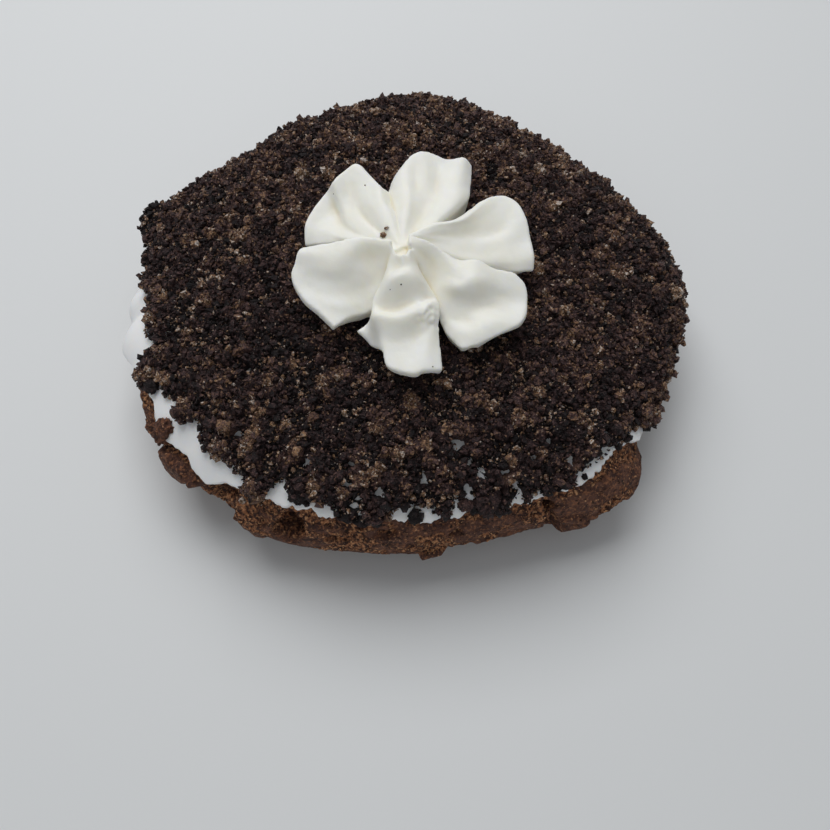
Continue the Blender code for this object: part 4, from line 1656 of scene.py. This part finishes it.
@dataclass(frozen=True)
class Petal:
    """One folded petal: a sheet over its ribs, thick at the rim, and solid towards the pinch."""

    ribs: tuple[tuple[tuple[float, float, float], ...], ...]
    thickness: float = 1.3
    foot_from: float = 0.4
    foot_to: float = 0.9
    grid: int = 60
    even_passes: int = 6

    def top(self) -> np.ndarray:
        """Lay a smooth sheet over the ribs.

        Returns:
            A grid of points, rib by rib, each row from the pinch to the rim, in millimetres.
        """
        across = through(np.asarray(self.ribs, float), self.grid)
        return through(across.swapaxes(0, 1), self.grid).swapaxes(0, 1)

    def underside(self, top: np.ndarray) -> np.ndarray:
        """Give the sheet its thickness, easing down to the crumbs towards the pinch.

        Args:
            top: The grid of the upper face.

        Returns:
            The grid of the lower face, in millimetres.
        """
        normal = np.cross(np.gradient(top, axis=1), np.gradient(top, axis=0))
        for _ in range(self.even_passes):
            padded = np.pad(normal, ((1, 1), (1, 1), (0, 0)), mode="edge")
            normal = padded[:-2, 1:-1] + padded[2:, 1:-1] + padded[1:-1, :-2] + padded[1:-1, 2:]
        normal = normal / np.linalg.norm(normal, axis=-1, keepdims=True)
        normal = normal * np.sign(np.median(normal[..., 2]))
        under = top - normal * self.thickness
        out = np.linspace(0.0, 1.0, self.grid)
        free = smooth((out - self.foot_from) / (self.foot_to - self.foot_from))
        under[..., 2] = np.maximum(0.0, under[..., 2] * free)
        return under

    def skin(self) -> tuple[np.ndarray, Faces]:
        """Close the two faces into one body.

        Returns:
            The points in millimetres, and the faces, outwards.
        """
        top = self.top()
        points = np.concatenate([top.reshape(-1, 3), self.underside(top).reshape(-1, 3)])
        over = np.arange(self.grid * self.grid).reshape(self.grid, self.grid)
        under = over + over.size
        faces = quads(over[:-1, :-1], over[:-1, 1:], over[1:, 1:], over[1:, :-1])
        faces += quads(under[:-1, :-1], under[1:, :-1], under[1:, 1:], under[:-1, 1:])
        edges = ((over[0], under[0]), (over[-1, ::-1], under[-1, ::-1]))
        edges += ((over[::-1, 0], under[::-1, 0]), (over[:, -1], under[:, -1]))
        for high, low in edges:
            faces += quads(high[:-1], low[:-1], low[1:], high[1:])
        return points, faces


@dataclass
class Rosette:
    """The piped rosette: six folded petals joined round a pinched middle."""

    form: CakeForm
    at: tuple[float, float] = (-1.5 * MM, -5.9 * MM)
    gap: float = 0.35 * MM
    petals: tuple[Petal, ...] = (
        Petal(LEFT_PETAL),
        Petal(UPPER_LEFT_PETAL),
        Petal(TOP_PETAL),
        Petal(RIGHT_PETAL),
        Petal(LOWER_RIGHT_PETAL),
        Petal(BOTTOM_PETAL),
    )
    core: tuple[tuple[float, float], ...] = (
        (9.0, 0.0), (8.2, 1.2), (6.4, 3.0), (4.8, 5.0), (3.6, 6.0), (2.4, 6.4), (1.0, 6.5),
    )
    core_shift: tuple[float, float] = (-0.4, 2.4)
    core_sides: int = 64
    voxel: float = 0.22 * MM
    soften: int = 6
    fold_passes: int = 60
    fold_depth: float = 0.7 * MM
    swell: float = 0.1 * MM
    torn_at: tuple[float, float, float] = (4.0, -9.4, 2.7)

    def place(self) -> tuple[float, float]:
        """Plan position of the rosette's middle."""
        return self.at[0] + self.form.middle[0], self.at[1] + self.form.middle[1]

    def over_crumbs(self, points: np.ndarray) -> np.ndarray:
        """Stand points on the crumbs.

        Args:
            points: Points in millimetres from the rosette's middle, heights from the crumbs.

        Returns:
            The points in metres.
        """
        form = self.form
        middle_x, middle_y = self.place()
        x = middle_x + points[..., 0] * MM
        y = middle_y + points[..., 1] * MM
        layers = form.icing_thickness + form.crumb_thickness + 2.0 * form.layer_gap + 0.14 * MM
        return np.stack([x, y, form.top_height(x, y, layers + self.gap) + points[..., 2] * MM], -1)

    def core_skin(self) -> tuple[np.ndarray, Faces]:
        """Build the solid middle that the petals spring from.

        Returns:
            The points in millimetres, and the faces, outwards.
        """
        turn = np.arange(self.core_sides) * 2.0 * math.pi / self.core_sides
        rings = []
        for radius, height in self.core:
            share = min(1.0, (self.core[0][0] - radius) / 4.0)
            x = self.core_shift[0] * share + radius * np.cos(turn)
            y = self.core_shift[1] * share + radius * np.sin(turn)
            rings.append(np.stack([x, y, np.full_like(x, height)], -1))
        stack = np.stack(rings)
        lathe = Lathe(stack, stack[0].mean(axis=0), stack[-1].mean(axis=0))
        return lathe.points(), lathe.faces()

    def join(self) -> bpy.types.Mesh:
        """Melt the petals and the core into one skin.

        Returns:
            The mesh, softened like piped frosting.
        """
        points, faces, start = [], [], 0
        for skin_points, skin_faces in [petal.skin() for petal in self.petals] + [self.core_skin()]:
            points.append(self.over_crumbs(skin_points))
            faces += [[corner + start for corner in face] for face in skin_faces]
            start += len(skin_points)
        rough = mesh_object("rosette_rough", np.concatenate(points), faces)
        melt = rough.modifiers.new("melt", "REMESH")
        melt.mode = "VOXEL"
        melt.voxel_size = self.voxel
        soft = rough.modifiers.new("soft", "SMOOTH")
        soft.factor = 0.5
        soft.iterations = self.soften
        return settle(rough, "rosette_piped")

    def finish_skin(self, mesh: bpy.types.Mesh) -> None:
        """Swell and ripple the skin, tear its flecked patch and keep how deep each point lies in a fold, for
        the cream tint and painted shade in the folds.

        Args:
            mesh: The joined skin.
        """
        points = read_numbers(mesh.vertices, "co", float, 3)
        normals = read_numbers(mesh.vertices, "normal", float, 3)
        middle_x, middle_y = self.place()
        torn_x, torn_y, torn_reach = self.torn_at
        away = np.hypot(points[:, 0] - middle_x - torn_x * MM, points[:, 1] - middle_y - torn_y * MM)
        torn = smooth(1.3 - away / (torn_reach * MM))
        ripple = 0.09 * MM * noise_at(points, 260.0, 4.0) + 0.035 * MM * noise_at(points, 700.0, 1.0)
        tear = torn * MM * (0.34 * noise_at(points, 1150.0, 9.0) + 0.4 * noise_at(points, 560.0, 2.0))
        points += normals * (self.swell + ripple + tear)[:, None]
        mesh.vertices.foreach_set("co", points.ravel())
        mesh.polygons.foreach_set("use_smooth", [True] * len(mesh.polygons))
        mesh.update()
        # How deep each point lies in a fold, which the finish paints creamy: part tint, part painted shade.
        write_attribute(mesh, "fold", hollow(mesh, self.fold_passes, self.fold_depth))

    def build(self) -> bpy.types.Object:
        """Build the rosette.

        Returns:
            The piece.
        """
        mesh = self.join()
        self.finish_skin(mesh)
        return add_object("rosette_piped", mesh)

    def dress(self, piece: bpy.types.Object, material: bpy.types.Material) -> None:
        """Finish the piece and place it on the body.

        Args:
            piece: The piece.
            material: Its finish.
        """
        piece.data.materials.clear()
        piece.data.materials.append(material)
        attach(piece, BODY)
        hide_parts("rosette")


# ---------------------------------------------------------------- single crumbs and flakes

@dataclass(frozen=True)
class Morsel:
    """One crumb or flake that lies apart: its place, how big and long it is, and its tone."""

    place: tuple[float, float]
    radius: float
    tone: float
    sink: float = 0.2
    longer: float = 1.0
    turn: float = 0.0


@dataclass
class Morsels:
    """Crumbs and flakes set one by one on the icing, the cake and the rosette."""

    form: CakeForm
    rosette: Rosette
    on_cake: tuple[Morsel, ...] = (
        Morsel((-156.5, 29.5), 1.4, 0.14, 0.0, 1.2, 40.0),
        Morsel((-115.0, 36.5), 1.6, 0.06, 0.0),
        Morsel((-112.8, 33.5), 0.6, 0.1, 0.0),
        Morsel((-90.2, 30.5), 1.0, 0.03, 0.0, 1.3, 90.0),
        Morsel((-79.0, 31.5), 1.2, 0.45, 0.1),
        Morsel((-77.3, 29.0), 0.9, 0.03, 0.0),
        Morsel((-74.0, 31.0), 2.1, 0.36, 0.2, 1.2, 50.0),
        Morsel((-69.5, 31.5), 0.9, 0.03, 0.0, 1.9, 20.0),
        Morsel((-140.0, 35.0), 0.4, 0.1),
        Morsel((-125.0, 24.5), 0.55, 0.92, 0.1),
        Morsel((-53.0, 32.5), 0.5, 0.1),
    )
    on_rosette: tuple[Morsel, ...] = (
        Morsel((-4.0, 6.5), 0.52, 0.78, 0.0),
        Morsel((-3.4, 7.5), 0.26, 0.84, 0.0, 1.7, 60.0),
        Morsel((-7.4, 17.1), 0.12, 0.2),
        Morsel((-13.1, 16.2), 0.08, 0.3),
        Morsel((-2.6, -6.0), 0.08, 0.3),
        Morsel((-0.8, -5.5), 0.12, 0.2),
        Morsel((4.4, -18.3), 0.1, 0.2),
    )
    flakes: tuple[Morsel, ...] = (
        Morsel((-147.5, 23.0), 1.9, 0.4, 0.5, 1.35, 90.0),
        Morsel((-151.0, 18.5), 1.3, 0.4, 0.6, 1.2, 30.0),
    )
    seed: int = 41

    @staticmethod
    def shape(
        corners: Sequence[bmesh.types.BMVert], morsel: Morsel, at: Vector, normal: Vector, shift: Vector
    ) -> None:
        """Turn a ball into one uneven lump.

        Args:
            corners: The ball's points.
            morsel: What it becomes.
            at: The point it lies on.
            normal: The way up from there.
            shift: Picks its unevenness.
        """
        spin = Matrix.Rotation(math.radians(morsel.turn), 3, "Z")
        turned = normal.to_track_quat("Z", "Y").to_matrix() @ spin
        for corner in corners:
            way = corner.co.copy()
            rough = 0.36 * noise.noise(way * 1.3 + shift) + 0.34 * noise.noise(way * 3.3 + shift)
            rough += 0.2 * noise.noise(way * 7.5 + shift)
            way *= morsel.radius * MM * (1.0 + rough)
            way.x *= morsel.longer
            way.z = way.z * 0.75 + (0.75 - 2.0 * morsel.sink) * morsel.radius * MM * 0.6
            corner.co = at + turned @ way

    def gather(self, name: str, placed: Sequence[tuple[Morsel, Vector, Vector]]) -> bpy.types.Object:
        """Put lumps together into one piece.

        Args:
            name: The piece's name.
            placed: Each morsel with the point it lies on and the way up there.

        Returns:
            The piece, with a tone on every point.
        """
        rng = random.Random(self.seed)
        whole = bmesh.new()
        tones = []
        for morsel, at, normal in placed:
            ball = bmesh.ops.create_icosphere(whole, subdivisions=4, radius=1.0)["verts"]
            shift = Vector([rng.uniform(0.0, 90.0) for _ in range(3)])
            self.shape(ball, morsel, at, normal, shift)
            tones += [morsel.tone] * len(ball)
        mesh = bpy.data.meshes.new(name)
        whole.to_mesh(mesh)
        whole.free()
        mesh.polygons.foreach_set("use_smooth", [True] * len(mesh.polygons))
        points = read_numbers(mesh.vertices, "co", float, 3)
        mottled = np.asarray(tones) + 0.22 * noise_at(points, 1500.0, 2.0)
        write_attribute(mesh, "tone", np.clip(mottled, 0.0, 1.0))
        write_attribute(mesh, "facet", np.full(len(mesh.polygons), 0.5), Domain.FACE)
        return add_object(name, mesh)

    def over_cake(self, morsels: Sequence[Morsel]) -> list[tuple[Morsel, Vector, Vector]]:
        """Find where morsels placed by azimuth and slope lie, on the icing's face.

        Args:
            morsels: The morsels.

        Returns:
            Each morsel with the point it lies on and the way up there.
        """
        placed = []
        for morsel in morsels:
            lift = float(self.form.icing_lift(*morsel.place))
            at = Vector(self.form.surface(*morsel.place, lift).tolist())
            above = Vector(self.form.surface(*morsel.place, lift + 1.0).tolist())
            placed.append((morsel, at, above - at))
        return placed

    def over_rosette(self, piped: bpy.types.Object) -> list[tuple[Morsel, Vector, Vector]]:
        """Find where morsels placed in plan, in millimetres from the rosette's middle, lie on it.

        Args:
            piped: The finished rosette.

        Returns:
            Each morsel with the point it lies on and the way up there.
        """
        middle_x, middle_y = self.rosette.place()
        placed = []
        for morsel in self.on_rosette:
            start = Vector((middle_x + morsel.place[0] * MM, middle_y + morsel.place[1] * MM, 1.0))
            _, at, normal, _ = piped.ray_cast(start, Vector((0.0, 0.0, -1.0)))
            placed.append((morsel, at, normal))
        return placed

    def build(
        self, piped: bpy.types.Object, crumb: bpy.types.Material, cake: bpy.types.Material
    ) -> list[bpy.types.Object]:
        """Build the crumbs and the flakes and place them on the body.

        Args:
            piped: The finished rosette.
            crumb: The crumbs' finish.
            cake: The cake's finish.

        Returns:
            The pieces.
        """
        stray = self.gather("crumbs_stray", self.over_cake(self.on_cake) + self.over_rosette(piped))
        flakes = self.gather("cake_flakes", self.over_cake(self.flakes))
        write_attribute(flakes.data, "broken", np.full(len(flakes.data.vertices), 0.12))
        # Painted shade: the flakes are darkened a quarter of the way towards the hollows' colour all over.
        write_attribute(flakes.data, "deep", np.full(len(flakes.data.vertices), 0.25))
        for piece, finish, slot in ((stray, crumb, Slot.CRUMBS), (flakes, cake, Slot.CAKE)):
            piece.data.materials.append(finish)
            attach(piece, BODY)
        return [stray, flakes]


# ---------------------------------------------------------------- the studio

@dataclass(frozen=True)
class Studio:
    """A pale floor, soft light from above and behind, and the camera over the bare side."""

    camera_at: tuple[float, float, float] = (0.72 * MM, -97.56 * MM, 155.7 * MM)
    camera_to: tuple[float, float, float] = (0.72 * MM, -24.86 * MM, 11.5 * MM)
    sensor_mm: float = 36.0
    nearest: float = 0.01
    lens_mm: float = 860.0 / 830.0 * 36.0
    floor_half: float = 2.5
    floor_colour: Colour = linear(224, 226, 227)
    floor_roughness: float = 0.6
    surround: Colour = (0.94, 0.97, 1.0, 1.0)
    surround_strength: float = 0.25
    lamps: tuple[tuple[str, tuple[float, float, float], float, float], ...] = (
        ("lamp_back", (-0.1, 0.32, 0.6), 0.55, 3.2),
        ("lamp_front", (-0.1, -0.5, 0.45), 0.5, 0.3),
    )

    def lay_floor(self) -> None:
        """Lay the floor, which isn't part of the object."""
        half = self.floor_half
        corners = np.array([(-half, -half, 0.0), (half, -half, 0.0), (half, half, 0.0), (-half, half, 0.0)])
        floor = mesh_object("floor", corners, [(0, 1, 2, 3)], soft=False)
        material = bpy.data.materials.new("floor_matt")
        material.use_nodes = True
        shader = material.node_tree.nodes["Principled BSDF"]
        shader.inputs["Base Color"].default_value = self.floor_colour
        shader.inputs["Roughness"].default_value = self.floor_roughness
        floor.data.materials.append(material)

    @staticmethod
    def stand(name: str, data: bpy.types.ID, at: Sequence[float], aim: Sequence[float]) -> bpy.types.Object:
        """Put a lamp or a lens at one point, facing another.

        Args:
            name: Its name.
            data: The lamp or the lens.
            at: Where it stands, in metres.
            aim: The point it faces.

        Returns:
            The object.
        """
        stood = add_object(name, data)
        stood.location = at
        stood.rotation_euler = (Vector(aim) - Vector(at)).to_track_quat("-Z", "Y").to_euler()
        return stood

    def light(self) -> None:
        """Light the scene: an even pale surround and soft square lamps."""
        world = bpy.data.worlds.new("surround")
        bpy.context.scene.world = world
        world.use_nodes = True
        back = world.node_tree.nodes["Background"]
        back.inputs["Color"].default_value = self.surround
        back.inputs["Strength"].default_value = self.surround_strength
        for name, at, size, power in self.lamps:
            lamp = bpy.data.lights.new(name, "AREA")
            lamp.size = size
            lamp.energy = power
            self.stand(name, lamp, at, (0.0, 0.0, 0.0))

    def stand_camera(self) -> None:
        """Stand the camera as the photograph was taken."""
        lens = bpy.data.cameras.new("camera")
        lens.sensor_width = self.sensor_mm
        lens.lens = self.lens_mm
        lens.clip_start = self.nearest
        bpy.context.scene.camera = self.stand("camera", lens, self.camera_at, self.camera_to)

    def build(self) -> None:
        """Set the whole studio up."""
        self.lay_floor()
        self.light()
        self.stand_camera()
        bpy.context.scene.view_settings.view_transform = "Standard"
        bpy.context.scene.view_settings.look = "None"


# ---------------------------------------------------------------- all of it


def report(piece: bpy.types.Object) -> None:
    """Log a finished piece with its triangles."""
    log.info("%s: %d triangles", piece.name, triangles(piece))


def main() -> None:
    """Build every piece in order, then the studio."""
    logging.basicConfig(level=logging.INFO, format="%(message)s")
    form = CakeForm()
    mottle = noise_group("mottle")

    cake = CakeBody(form)
    body = cake.build()
    baked = CakeFinish("chocolate_cake", mottle).make()
    cake.dress(body, baked)
    report(body)

    sheet = IcingSheet(form)
    icing = sheet.build()
    sheet.dress(icing, IcingFinish("white_icing", mottle).make())
    report(icing)

    clumps = Clumps(form)
    clumps.scatter()
    bed = CrumbBed(form, clumps=clumps)
    crust = bed.build()
    bed.dress(crust, CrumbFinish("packed_crumbs", mottle, facets=False).make())
    report(crust)

    rosette = Rosette(form)
    crumb = CrumbFinish("loose_crumb", mottle).make()
    loose = LooseCrumbs(form, bed, rosette.place())
    for piece in loose.build(crumb):
        report(piece)

    piped = rosette.build()
    rosette.dress(piped, FrostingFinish("white_frosting", mottle).make())
    report(piped)

    for piece in Morsels(form, rosette).build(piped, crumb, baked):
        report(piece)

    Studio().build()


if __name__ == "__main__":
    main()
